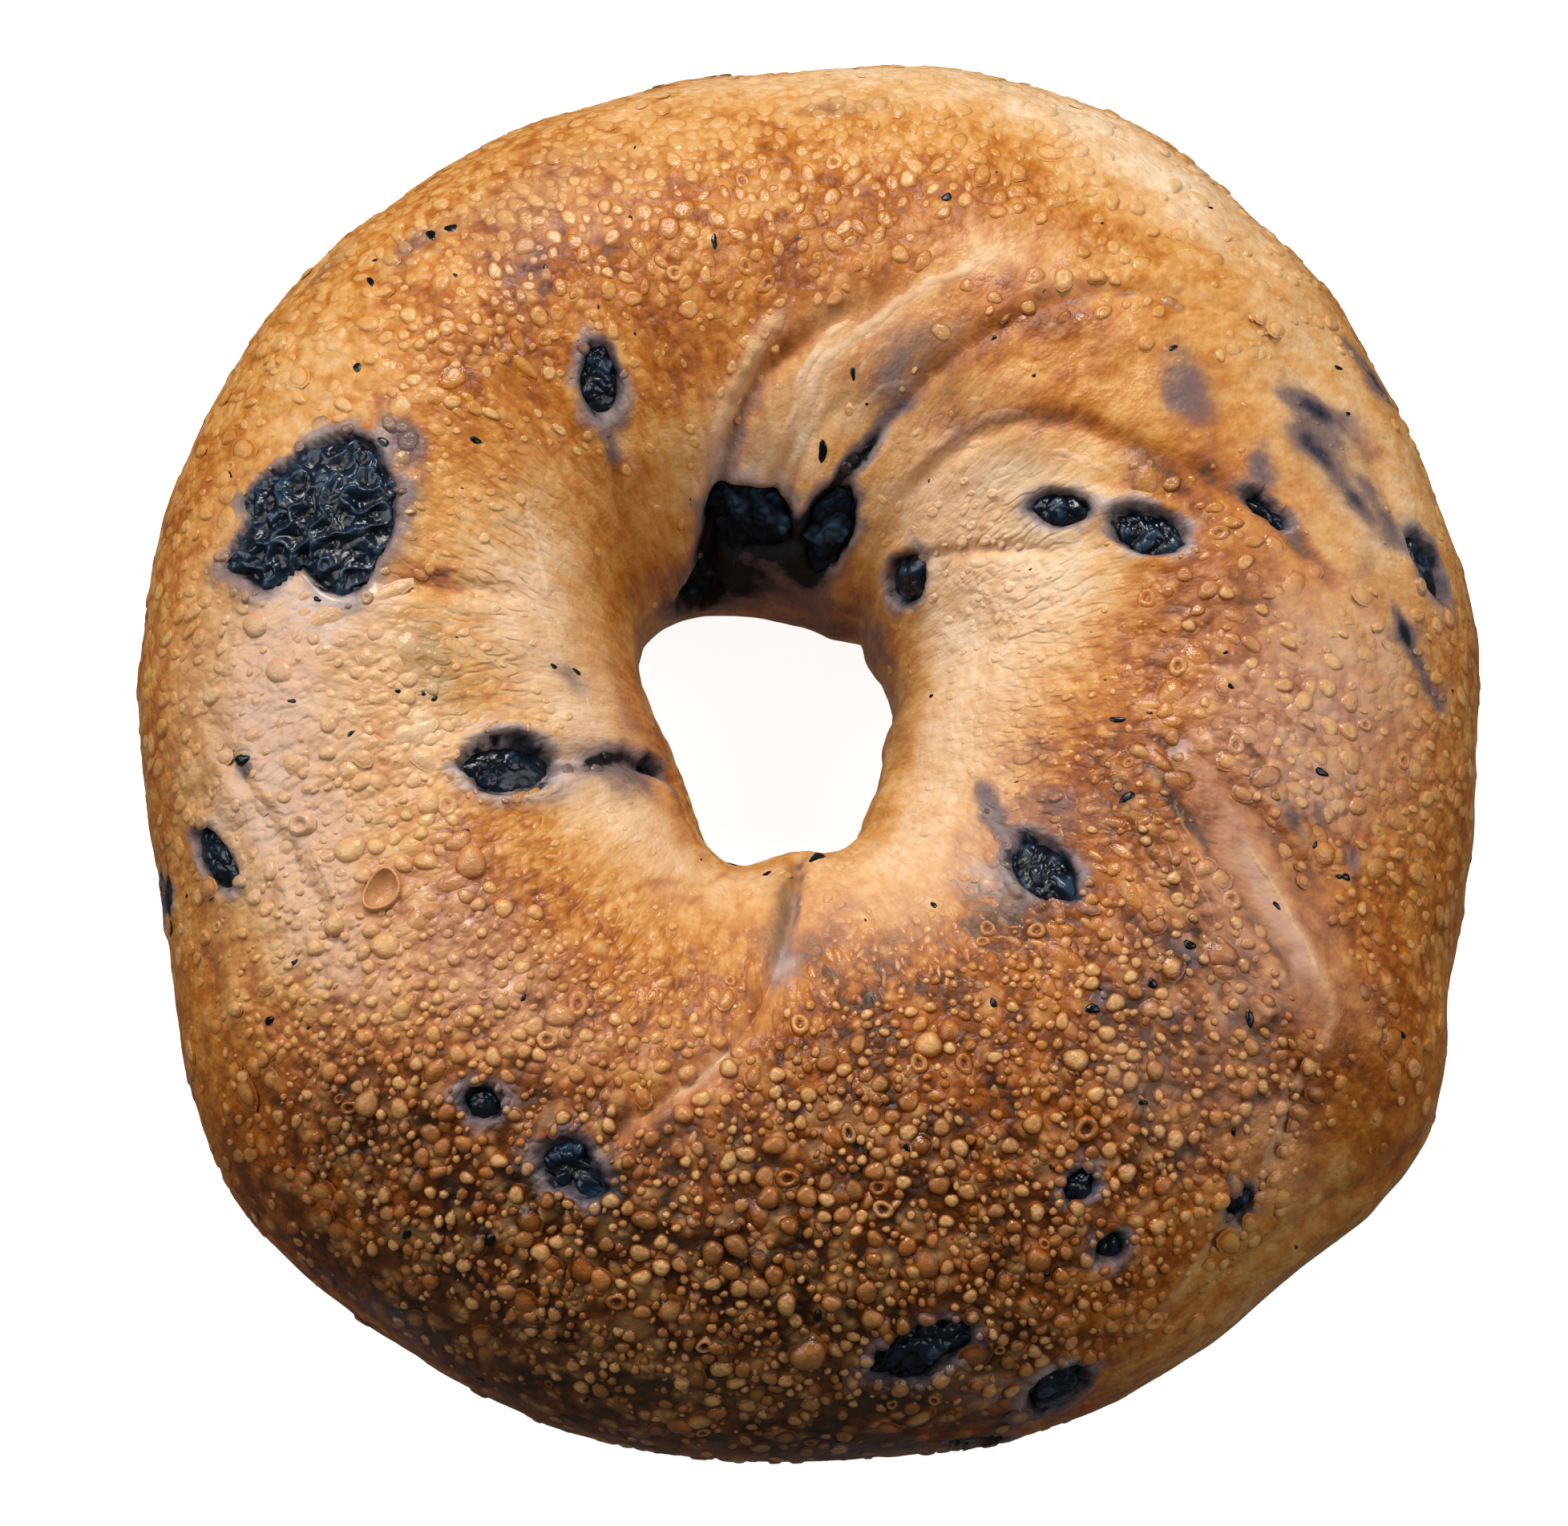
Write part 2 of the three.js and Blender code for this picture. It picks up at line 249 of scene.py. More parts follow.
# %% Move the dough by its folds
def fold_field(points, out):
    """How far the folds move each point out, and how deep in a crease it lies, from 0 to 1."""
    move = np.zeros(len(points))
    crease = np.zeros(len(points))
    for start_depth, end_depth, width, lift, reach, course in FOLDS:
        line = smooth_course(course)
        middle = (line.min(0) + line.max(0)) / 2
        near = np.linalg.norm(points - middle, axis=1) < np.ptp(line, axis=0).max() / 2 + 4 * reach
        far, side, run, along, length = along_line(points[near], line)
        ends = ease(np.minimum(along, length - along), -FOLD_FADE / 2, FOLD_FADE)
        depth = start_depth + (end_depth - start_depth) * along / length
        right = (np.cross(run, out[near]) * side).sum(1)
        rise = abs(lift) * (1 - np.exp(-far / FOLD_RISE)) * np.exp(-far / reach)
        groove = np.exp(-((far / width) ** 2)) * ends * depth
        move[near] += ends * np.where(np.sign(right) == np.sign(lift), rise, 0) - groove
        crease[near] = np.maximum(crease[near], np.minimum(groove, 1))
    return move, crease


# %% [markdown]
# ## Where the berries lie
#
# Each berry must sit exactly in its packed place. Its centre, size and lie are therefore measured on the
# packed berry: the three axes along which its corners spread most and least. The least is the way out of
# the crust.

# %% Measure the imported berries
PROUD = 0.2  # the share of a packed berry's thickness that stands out of the dough
DOUGH_REACH = 34  # mm from the middle of the hole to the middle of the dough


def measured_berry(name):
    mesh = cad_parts[name].data
    corners = np.array([v.co for v in mesh.vertices]) / MM
    corners = np.unique(corners.round(4), axis=0)
    centre = (corners.min(0) + corners.max(0)) / 2
    spread = np.linalg.svd(corners - corners.mean(0), full_matrices=False)[2]
    out = spread[2]
    ring_middle = HOLE_AT + DOUGH_REACH * unit((centre - HOLE_AT) * [1, 1, 0]) + [0, 0, WAIST]
    if out @ (centre - ring_middle) < 0:
        out = -out
    along = spread[0]
    axes = np.array([along, np.cross(out, along), out])
    half = np.abs((corners - centre) @ axes.T).max(0)
    level = half[2] * (1 - 2 * PROUD)
    shown = half[:2] * math.sqrt(1 - (1 - 2 * PROUD) ** 2)
    way = np.cross([0, 0, 1], centre - HOLE_AT)  # the way around the ring there
    turned = math.degrees(math.atan2(along @ np.cross(out, way), along @ way))
    return {
        "name": name, "centre": centre, "axes": axes, "half": half,
        "shown": shown, "level": level, "turned": turned,
    }


berries = [measured_berry(name) for name in BERRIES]
for berry in berries[:3]:
    print(berry["name"], "shows", (2 * berry["shown"]).round(1), "mm")

# %% [markdown]
# A berry's opening in the crust isn't an ellipse: the skin tore round it. Its outline is an ellipse whose
# radius wanders, and the same outline shapes both the crust's socket and the berry, so the two meet.
#
# How a berry lies differs too. Some stand in the crust like wrinkled buttons, others look out of a slit
# below the skin. *sunk* is how far the berry's top lies below the crust, in mm, *lip* how high the crust
# stands round it and *halo* how far its juice spread.

# %% How each berry lies
LIES = {
    # name: sunk, lip, raggedness, wrinkle depth, halo of stain, pale torn skin
    "berry_big_left": (-0.5, 0.25, 0.16, 0.55, 1.6, 0.5),
    "berry_upper_left": (0.2, 0.3, 0.08, 0.3, 1.3, 0.5),
    "berry_hole_back": (-0.3, 0.2, 0.2, 0.45, 1.5, 0.3),
    "berry_hole_back_right": (-0.1, 0.2, 0.25, 0.35, 1.2, 0.3),
    "berry_hole_low": (0.1, 0.2, 0.25, 0.3, 1.8, 0.2),
    "berry_hole_right": (0.3, 0.35, 0.1, 0.15, 1.2, 0.4),
    "berry_eye_left": (0.5, 0.3, 0.12, 0.2, 0.8, 0.9),
    "berry_eye_right": (0.5, 0.35, 0.15, 0.3, 0.9, 0.9),
    "berry_glossy_left": (0.4, 0.45, 0.14, 0.12, 0.8, 1.0),
    "berry_inner_right": (0.4, 0.35, 0.18, 0.3, 1.2, 0.45),
    "berry_edge_right": (0.7, 0.3, 0.1, 0.2, 1.3, 0.3),
    "berry_ledge_right": (0.7, 0.3, 0.15, 0.15, 0.5, 0.2),
    "berry_front_crumbly": (-0.2, 0.3, 0.3, 0.5, 0.8, 0.4),
    "berry_low_front": (0.1, 0.3, 0.28, 0.45, 0.9, 0.2),
    "berry_rim_front": (0.0, 0.3, 0.22, 0.3, 1.4, 0.8),
}
COMMON_LIE = (0.25, 0.3, 0.14, 0.2, 0.9, 0.4)

for number, berry in enumerate(berries):
    keys = ("sunk", "lip", "ragged", "wrinkle", "halo", "torn")
    berry.update(zip(keys, LIES.get(berry["name"], COMMON_LIE)))
    berry["seed"] = number
print("berries that lie in their own way:", len(LIES), "of", len(berries))

# %% The outlines of the openings
BERRY_LOBES = {
    # an opening's own bays and points: [angle, swell, spread]
    "berry_big_left": [[44, 0.22, 16], [6, -0.36, 14], [310, 0.18, 12], [285, -0.14, 12], [240, -0.05, 14]],
    "berry_upper_left": [[180, -0.15, 30], [300, -0.12, 20]],
    "berry_glossy_left": [[30, 0.12, 20], [120, -0.12, 20]],
    "berry_hole_back": [[145, 0.3, 24], [60, 0.2, 20]],
    "berry_hole_back_right": [[90, 0.3, 26], [30, 0.2, 20]],
    "berry_ledge_right": [[304, -0.5, 44], [124, -0.5, 44]],
}


def torn_outline(berry, angle):
    """The opening's radius, as a share of its ellipse, for an array of angles."""
    turn = np.stack([np.cos(angle), np.sin(angle), np.zeros_like(angle)], -1)
    broad = cloud(turn, 0.9, berry["seed"])
    fine = cloud(turn, 0.35, berry["seed"] + 50)
    own = swell(BERRY_LOBES.get(berry["name"], [[0, 0, 1]]), np.degrees(angle) + berry["turned"])
    return 1 + own + berry["ragged"] * (broad + 0.5 * fine)


def gap_beside(berry, points):
    """How far each point lies outside a berry's opening, in mm, and below zero inside it."""
    flat = ((points - berry["centre"]) @ berry["axes"].T)[:, :2] / berry["shown"]
    share = np.hypot(*flat.T) / torn_outline(berry, np.arctan2(flat[:, 1], flat[:, 0]))
    return (share - 1) * berry["shown"].mean()


# %% [markdown]
# Under each berry the crust is hollowed, so that the berry's skin and not the dough shows in the opening.
# The hollow is only as deep as the berry needs. Round it stands a low lip, then the skin slopes down
# toward a berry that lies deep. The stain fades outward, and some of the lip's skin is torn and pale.

# %% Hollow the sockets
DENTS = [[214, 81, 1.5, 0.9]]  # under the one blister that burst wide open: around, over, radius, depth


def ring_point(around, over):
    """One point of the smooth ring, from two plain numbers."""
    return ring_points(np.array(float(around)), np.array(float(over)))


def socket_field(points):
    """How far the sockets move the crust, and its stain and torn skin round the berries."""
    move = np.zeros(len(points))
    stain = np.zeros(len(points))
    torn = np.zeros(len(points))
    for berry in berries:
        size = berry["shown"].max()
        near = np.linalg.norm(points - berry["centre"], axis=1) < size + 8
        gap = gap_beside(berry, points[near])
        depth = max(berry["sunk"], 0) + 0.9
        hollow = -depth * (1 - ease(gap, -0.5, 0.25))
        lip = berry["lip"] * np.exp(-(((gap - 0.7) / 0.7) ** 2))
        slope = -0.35 * max(berry["sunk"], 0) * np.exp(-np.maximum(gap, 0) / 2.0)
        move[near] += hollow + (lip + slope) * (gap > -0.4)
        ragged = 1 + 0.9 * cloud(points[near], 2.2, 71) + 0.5 * cloud(points[near], 0.8, 72)
        halo = np.exp(-np.maximum(gap, 0) / (0.6 * berry["halo"] * np.clip(ragged, 0.25, 2)))
        stain[near] = np.maximum(stain[near], halo)
        edge = np.exp(-(((gap - 0.7) / 0.6) ** 2)) * np.clip(1.6 * ragged - 1.2, 0, 1)
        torn[near] = np.maximum(torn[near], berry["torn"] * edge)
    for at, over_at, radius, depth in DENTS:
        far = np.linalg.norm(points - ring_point(at, over_at), axis=1)
        move -= depth * (1 - ease(far, radius * 0.7, radius))
    return move, stain, torn


# %% [markdown]
# ## The fields of the crust
#
# What the oven did differs from place to place: the front is baked dark and crowded with blisters, the
# skin near the hole was stretched and stayed pale, and juice stained the dough beside the berries. The
# browning field also carries painted shade, on the front and on the walls of the hole, which face away from
# the light. Each of these is a field on the ring, from 0 to 1. A field starts from a value that depends on
# how far over the place is, and soft patches add to it: [around, over, half width, half height, amount],
# with the sizes in mm. Both the crust and every blister on it read the same fields, so they agree.

# %% How patches make a field
SECTION_MM = 0.39  # mm of crust for each degree over


def patches(around, over, spots):
    """The sum of soft round patches at each place."""
    reach = np.hypot(*(ring_points(around, over) - HOLE_AT)[..., :2].T).T
    total = np.zeros(np.shape(around))
    for at_around, at_over, wide, tall, amount in spots:
        x = np.radians(turn_between(around, at_around)) * reach / wide
        y = (over - at_over) * SECTION_MM / tall
        total += amount * np.exp(-(x * x + y * y))
    return total


def wrapped(over):
    """The angle over from -90 to 270, so that the base is at both ends."""
    return (np.asarray(over) + 90) % 360 - 90


# %% Where the crust is browner and where juice stained it
BAKED_OVER = [-90, -60, -40, -15, 10, 30, 55, 80, 100, 118, 135, 160, 190, 225, 270]
BAKED = [0.34, 0.40, 0.36, 0.36, 0.50, 0.56, 0.56, 0.54, 0.46, 0.32, 0.20, 0.18, 0.2, 0.34, 0.34]
# Some patches are painted shade: those on the front, around 270, are partly browner crust and partly painted
# shade where it faces away from the light, and [95, 124], [182, 148], [235, 152], [285, 140] and [76, 174]
# are painted shade on the walls of the hole.
BROWN_AND_SHADE_SPOTS = [
    [270, 48, 32, 13, 0.26], [248, 40, 16, 11, 0.10], [300, 72, 20, 12, 0.08], [262, 74, 20, 6, 0.06],
    [304, 26, 18, 10, -0.28], [330, 28, 16, 10, -0.03], [285, 90, 16, 5, 0.10],
    [75, 40, 34, 9, -0.34], [50, 50, 14, 8, -0.14], [100, 60, 16, 8, -0.06], [140, 62, 16, 9, -0.16],
    [180, 70, 20, 12, -0.26], [205, 66, 16, 9, -0.20], [150, 100, 16, 6, -0.04], [192, 100, 10, 4, -0.10],
    [0, 98, 14, 6, 0.10], [6, 78, 8, 4, 0.12], [20, 92, 8, 3, 0.10],
    [16, 112, 8, 4, -0.10], [34, 100, 10, 5, -0.10], [62, 98, 12, 6, 0.12],
    [215, 45, 12, 6, 0.04], [340, 62, 10, 8, -0.06], [128, 92, 6, 8, 0.12], [232, 96, 10, 4, 0.06],
    [186, 30, 12, 7, -0.02], [206, 26, 14, 8, -0.06], [232, 20, 12, 6, 0.16], [208, 57, 10, 5, -0.12],
    [272, 22, 30, 8, 0.22], [255, 128, 14, 5, 0.10], [300, 118, 20, 6, 0.12], [266, 42, 22, 8, 0.2],
    [0, 38, 20, 12, -0.10], [354, 60, 14, 10, -0.05], [20, 48, 12, 10, -0.12], [22, 42, 1.6, 1.4, 0.3],
    [180, 76, 12, 8, 0.12], [292, 118, 10, 6, 0.14], [330, 108, 12, 5, 0.08], [95, 124, 20, 9, 0.18],
    [76, 174, 28, 10, 0.34], [60, 118, 12, 6, 0.10], [182, 148, 14, 6, 0.16], [235, 152, 14, 5, 0.14],
    [320, 120, 14, 5, 0.10], [142, 14, 22, 10, -0.14], [330, 52, 14, 14, 0.16], [285, 140, 40, 10, 0.10],
    [210, 102, 8, 5, 0.16], [330, 118, 10, 5, 0.06], [268, -4, 46, 14, 0.16], [272, 26, 24, 10, 0.08],
]
STAIN_AND_SHADE_SPOTS = [
    # round the berries that lie under the skin on the right
    [28, 56, 3.0, 2.2, 0.35], [24, 55, 2.4, 3.0, 0.35], [18, 50, 3.0, 3.6, 0.3], [14, 43, 1.6, 4.0, 0.25],
    [22, 71, 2.0, 1.4, 0.4], [4, 47, 1.6, 2.6, 0.45], [0, 38, 1.6, 3.4, 0.35], [29, 27, 3.4, 3.0, 0.4],
    [10, 57, 2.2, 2.2, 0.2], [66, 110, 2.4, 3.6, 0.3], [324, 82, 1.2, 1.2, 0.5], [312, 86, 1.0, 1.0, 0.5],
    [23, 45, 3.0, 3.0, 0.2],
    # faint ones, where a berry lies deeper
    [110, 55, 7, 4, 0.14], [118, 74, 5, 6, 0.2], [122, 83, 3, 3, 0.15], [34, 77, 3.4, 2.2, 0.45],
    [82, 53, 6, 1.6, 0.22], [128, 58, 5, 2.4, 0.3], [134, 36, 5, 3, 0.2], [332, 112, 2, 4, 0.3],
    [182, 133, 1.6, 2.0, 0.45], [146, 84, 2.0, 2.4, 0.4], [149, 90, 2.4, 2.0, 0.35],
    [191, 56, 1.0, 1.0, 0.7], [216, 140, 3, 4, 0.4], [340, 56, 1.4, 1.0, 0.5], [240, 12, 7, 3, 0.3],
    [275, 6, 12, 3, 0.28], [96, -30, 6, 4, 0.4], [330, -38, 5, 3, 0.3],
    # the soaked dough between the berries at the back of the hole, and painted shade below them
    [100, 147, 1.8, 1.8, 1.3], [89, 148, 2.4, 2.0, 1.3], [78, 151, 2.2, 2.0, 1.3], [69, 154, 1.6, 2.0, 1.2],
    [86, 157, 2.2, 1.8, 1.3], [72, 161, 1.4, 1.4, 1.1], [104, 158, 1.6, 2.4, 1.3], [108, 168, 2.2, 2.6, 1.3],
    [112, 180, 2.0, 2.4, 1.2], [100, 171, 2.0, 2.0, 1.0], [94, 165, 1.6, 1.6, 0.7], [76, 168, 3.0, 2.4, 0.3],
    # painted shade on the wall below the berries at the back of the hole
    [70, 175, 22, 8, 0.3],
]
print("brown patches:", len(BROWN_AND_SHADE_SPOTS), "stains:", len(STAIN_AND_SHADE_SPOTS))

# %% Where it is olive, rosy, cream, torn or veined
OLIVE_AND_SHADE_SPOTS = [
    # [74, 172] is painted shade on the wall below the berries at the back of the hole
    [23, 58, 1.4, 1.4, 0.9], [15, 43, 2.0, 3.0, 0.5], [74, 172, 22, 9, 0.7], [29, 94, 3.0, 1.4, 0.6],
    [35, 111, 4, 1.6, 0.4], [184, 101, 3.4, 2.0, 0.5], [66, 118, 4, 3, 0.5],
    [56, 110, 5, 2, 0.45], [320, 62, 1.6, 1.6, 0.4], [268, 30, 24, 5, 0.3], [205, 42, 4, 4, 0.3],
]
# painted sheen: rosy patches where the glossy skin reflects the lights
ROSY_SHEEN_SPOTS = [
    [186, 60, 12, 8, 0.7], [199, 63, 9, 5, 0.7], [214, 70, 9, 5, 0.7], [232, 89, 10, 4, 0.8],
    [172, 80, 10, 6, 0.5], [349, 78, 7, 5, 0.5], [357, 62, 9, 9, 0.85], [328, 84, 9, 5, 0.3],
    [320, 76, 8, 5, 0.3], [326, 72, 6, 6, 0.4], [347, 66, 4, 6, 0.4], [112, 68, 10, 6, 0.3],
]
CREAM_SPOTS = [
    [170, 128, 9, 6, 0.7], [196, 141, 7, 5, 0.5], [225, 132, 9, 5, 0.6], [250, 143, 9, 4, 0.55],
    [294, 126, 12, 5, 0.6], [316, 131, 9, 6, 0.8], [352, 136, 10, 6, 0.9], [16, 136, 9, 5, 0.9],
    [28, 114, 8, 4, 0.8], [42, 128, 7, 5, 0.6], [80, 122, 8, 3, 0.5], [68, 102, 8, 3, 0.3],
    [56, 82, 9, 2.2, 0.3], [169, 119, 6, 4, 0.6], [195, 96, 8, 3, 0.7], [174, 84, 5, 4, 0.5],
    [190, 62, 20, 10, 0.45], [18, 50, 12, 10, 0.55], [334, 72, 3.0, 6, 0.35], [329, 60, 2.5, 5, 0.4],
    [316, 44, 3, 8, 0.45], [310, 66, 2, 5, 0.4], [70, 32, 26, 6, 0.55], [50, 38, 12, 6, 0.4],
    [262, 96, 4, 8, 0.2], [78, 114, 2.4, 5, 0.4], [61, 84, 4, 2, 0.3], [40, 122, 4, 5, 0.7],
    [20, 130, 8, 5, 0.7],
]
TORN_SPOTS = [
    # pale scraps of skin beside the berries
    [170, 66, 2.2, 1.6, 0.9], [173, 77, 2.2, 2.2, 1.0], [174, 81, 2.0, 1.6, 0.9],
    [171, 90, 1.2, 1.2, 0.7], [196, 110, 1.4, 2.2, 0.8], [200, 105, 1.8, 1.4, 0.6],
    [212, 119, 1.0, 1.6, 0.9], [214, 124, 1.2, 1.8, 0.7], [204, 130, 1.6, 3.2, 0.35],
    [40, 116, 1.4, 3.4, 0.35], [24, 102, 1.6, 1.6, 0.4], [315, 118, 1.6, 3.0, 0.7],
    [274, 114, 1.1, 1.6, 0.6], [100, 140, 2.4, 4.0, 0.5], [92, 136, 2.4, 4.0, 0.4],
    [122, 122, 0.8, 3.0, 0.5],
    [288, 24, 3.0, 1.6, 0.5], [196, 44, 1.0, 2.6, 0.5],
]
VEIN_SPOTS = [
    # where the stretched skin wrinkled into brown-edged cells
    [18, 118, 12, 5, 0.9], [345, 118, 12, 4, 0.8], [325, 118, 10, 4, 0.6], [295, 110, 14, 4, 0.5],
    [262, 108, 12, 5, 0.5], [225, 110, 12, 5, 0.6], [192, 64, 16, 10, 0.8], [215, 74, 14, 8, 0.7],
    [185, 100, 10, 6, 0.6], [150, 116, 10, 6, 0.5], [110, 108, 14, 5, 0.5], [172, 116, 8, 5, 0.6],
    [340, 76, 14, 8, 0.15], [48, 108, 10, 5, 0.3], [240, 86, 12, 6, 0.5],
]
SPOTS = {
    "browning_and_shade": BROWN_AND_SHADE_SPOTS, "stain": STAIN_AND_SHADE_SPOTS, "olive": OLIVE_AND_SHADE_SPOTS, "rosy_sheen": ROSY_SHEEN_SPOTS,
    "cream": CREAM_SPOTS, "torn": TORN_SPOTS, "veins": VEIN_SPOTS,
}
print("patches in all:", sum(len(spots) for spots in SPOTS.values()))

# %% [markdown]
# Some marks follow the folds: the pale band where the twist stretched the skin, the juice that ran from a
# berry, the dark edge of a lap, partly browner crust and partly painted shade in its crease. They are
# painted along a course: [amount, half width in mm, course].

# %% Marks along a course
LINES = {
    "browning_and_shade": [
        # dark lines in the creases and along the laps: partly browner crust and partly painted shade
        [0.55, 0.6, [[89, 118], [94, 126], [98, 134], [101, 143], [105, 156]]],
        [0.45, 0.9, [[97, 130], [100, 138], [104, 150]]],
        [0.24, 1.3, [[68, 116], [65, 112], [60, 105], [54, 95], [46, 84]]],
        [0.24, 0.9, [[53, 128], [52, 122], [49, 114], [44, 106], [38, 99], [32, 94], [26, 90], [20, 87]]],
        [0.20, 0.8, [[26, 86], [20, 77], [14, 70], [8, 63]]],
        [0.12, 0.5, [[38, 140], [32, 132], [28, 120], [20, 113]]],
        [0.36, 0.35, [[344, 98], [339, 92], [333, 81], [329, 69], [328, 60]]],
        [0.34, 0.35, [[341, 104], [332, 96], [325, 82], [322, 72]]],
        [0.30, 0.35, [[350, 84], [347, 78], [341, 68], [336, 62]]],
        [0.14, 0.3, [[336, 104], [328, 94], [320, 80]]],
        [
            0.08, 0.6,
            [[343, 93], [340, 91], [335, 86], [333, 80], [331, 76], [330, 72], [329, 68], [327, 59]],
        ],
        [0.08, 0.6, [[346, 88], [343, 82], [342, 74], [339, 71], [336, 67], [333, 63], [331, 57]]],
        [0.16, 0.7, [[312, 72], [310, 68], [308, 62], [304, 57]]],
        [0.30, 0.8, [[170, 94], [167, 98], [166, 103], [163, 110]]],
        [0.30, 0.5, [[17, 72], [12, 67], [9, 61]]],
        [0.40, 0.5, [[281, 152], [276, 134], [273, 122]]],
        [0.20, 0.3, [[242, 123], [248, 133], [256, 140], [263, 152]]],
        [0.20, 0.3, [[254, 128], [256, 138]]],
        [0.20, 0.3, [[264, 129], [268, 139]]],
    ],
    "cream": [
        [0.60, 1.0, [[80, 142], [80, 124], [80, 116], [77, 110], [72, 104], [69, 98], [64, 90], [60, 81]]],
        [0.30, 0.6, [[73, 119], [72, 112], [69, 107], [65, 101]]],
        [0.30, 0.7, [[72, 126], [68, 117], [62, 112]]],
        [0.45, 1.1, [[86, 102], [91, 112], [94, 118], [97, 124], [99, 132], [102, 145]]],
        [0.45, 0.5, [[338, 79], [336, 74], [334, 70], [332, 66], [330, 61], [328, 56], [323, 52]]],
        [0.50, 0.6, [[321, 55], [319, 49], [313, 40], [304, 31], [300, 26]]],
        [0.28, 0.7, [[271, 103], [268, 100], [265, 96], [262, 92], [260, 87], [256, 81], [250, 66]]],
        [0.40, 0.8, [[192, 53], [206, 63], [222, 71]]],
    ],
    "rosy_sheen": [
        # painted sheen along the stretched strips
        [0.90, 0.9, [[345, 89], [340, 84], [336, 80], [334, 74], [331, 68], [329, 61]]],
        [0.90, 0.6, [[267, 99], [264, 94], [261, 89]]],
    ],
    "olive": [
        [0.60, 0.9, [[68, 112], [63, 104], [58, 98]]],
        [0.90, 0.9, [[281, 150], [276, 134], [272, 119]]],
        [0.40, 1.6, [[174, 98], [182, 101], [188, 104]]],
    ],
    "stain": [
        [0.60, 0.8, [[332, 131], [326, 125], [321, 118]]],
        [0.75, 0.9, [[207, 120], [210, 128], [209, 137], [211, 147], [217, 156]]],
        [0.45, 0.9, [[30, 60], [27, 54], [25, 48]]],
        [0.45, 0.8, [[25, 60], [22, 57], [18, 54], [15, 52]]],
        [0.40, 0.7, [[25, 71], [22, 72], [19, 72]]],
        [0.36, 0.8, [[21, 51], [17, 47], [12, 42]]],
        [0.50, 0.9, [[33, 34], [30, 28], [26, 21]]],
        [0.55, 0.7, [[7, 50], [4, 47], [1, 42], [-2, 35]]],
        [1.40, 0.7, [[76, 149], [72, 141], [69, 134], [66, 128], [64, 121]]],
        [0.60, 0.7, [[119, 114], [122, 122], [124, 130]]],
        [0.45, 0.5, [[286, 158], [281, 141], [277, 124]]],
        [0.30, 1.0, [[277, 122], [274, 114], [271, 107]]],
        [0.45, 0.6, [[64, 121], [60, 113]]],
        [0.30, 0.4, [[52, 88], [49, 83], [48, 78], [44, 72], [40, 68]]],
        [0.80, 0.7, [[100, 141], [103, 150], [109, 162]]],
    ],
    "torn": [
        [0.25, 0.6, [[280, 140], [276, 124], [272, 112]]],
        [0.40, 0.5, [[330, 130], [325, 124], [322, 119]]],
        [0.70, 0.5, [[204, 113], [206, 112], [210, 112], [213, 115], [214, 121]]],
        [0.55, 0.9, [[206, 124], [207, 134], [212, 144]]],
        [0.60, 0.4, [[68, 134], [65, 128], [62, 121]]],
        [0.30, 1.0, [[92, 142], [90, 134], [87, 126]]],
        [0.30, 0.7, [[84, 142], [83, 132], [81, 124]]],
        [0.20, 0.7, [[278, 124], [274, 114], [271, 106]]],
    ],
    "crowd": [
        [-1.2, 1.6, [[346, 90], [341, 84], [337, 78], [333, 70], [330, 61], [326, 54]]],
        [-0.7, 1.4, [[276, 125], [270, 104], [260, 89], [256, 82], [250, 66]]],
        [-1.0, 2.2, [[80, 150], [80, 124], [78, 112], [71, 102], [64, 90], [60, 81], [55, 75]]],
    ],
}
print("marks along a course:", sum(len(lines) for lines in LINES.values()))

# %% [markdown]
# Patches and marks would look like stamps if their edges were smooth. So the places at which they are
# read are shaken a little with noise, and their strength is broken up too.

# %% Add up the fields
# a field stays from 0 to 1, but soaked dough in painted shade is darker than a stain, and brown stops short
# of burnt
TOP_VALUES = {"stain": 1.6, "browning_and_shade": 0.84}


def painted(points, lines):
    """The sum of the marks of one field at each point."""
    total = np.zeros(len(points))
    for amount, width, course in lines:
        line = smooth_course(course, 5)
        middle = (line.min(0) + line.max(0)) / 2
        near = np.linalg.norm(points - middle, axis=1) < np.ptp(line, axis=0).max() / 2 + 3 * width + 2
        far, _, _, along, length = along_line(points[near], line)
        ends = ease(np.minimum(along, length - along), -1.0, 2.0)
        total[near] += amount * np.exp(-((far / width) ** 2)) * ends
    return total


def crust_fields(around, over, points):
    """Browning, with its painted shade, and the other fields for arrays of places, each from 0 to its top
    value.
    """
    wide = cloud(points, 14, 3)
    fine = cloud(points, 4, 4)
    lean_around = around + 2.2 * cloud(points, 5, 5) + 0.8 * cloud(points, 1.6, 7)
    lean_over = wrapped(over + 3.0 * cloud(points, 5, 6) + 1.2 * cloud(points, 1.6, 8))
    shift = np.stack([cloud(points, 3, seed) + 0.5 * cloud(points, 1.2, seed) for seed in (41, 42, 43)], -1)
    base = ring_points(around, over) + 0.5 * shift
    made = {}
    for name, spots in SPOTS.items():
        made[name] = patches(lean_around, lean_over, spots) * (1 + 0.35 * fine)
    made["browning_and_shade"] += np.interp(wrapped(over), BAKED_OVER, BAKED) + 0.05 * wide + 0.05 * fine
    made["crowd"] = crowding(around, over) * (1 + 0.3 * fine)
    for name, lines in LINES.items():
        made[name] = made[name] + painted(base, lines) * (1 + 0.4 * fine)
    return {name: np.clip(field, 0, TOP_VALUES.get(name, 1)) for name, field in made.items()}


# %% [markdown]
# Blisters crowd on the front, where the crust faced the heat, and stay away from the hole. How far they
# stand out differs too: on the back they are flat discs.

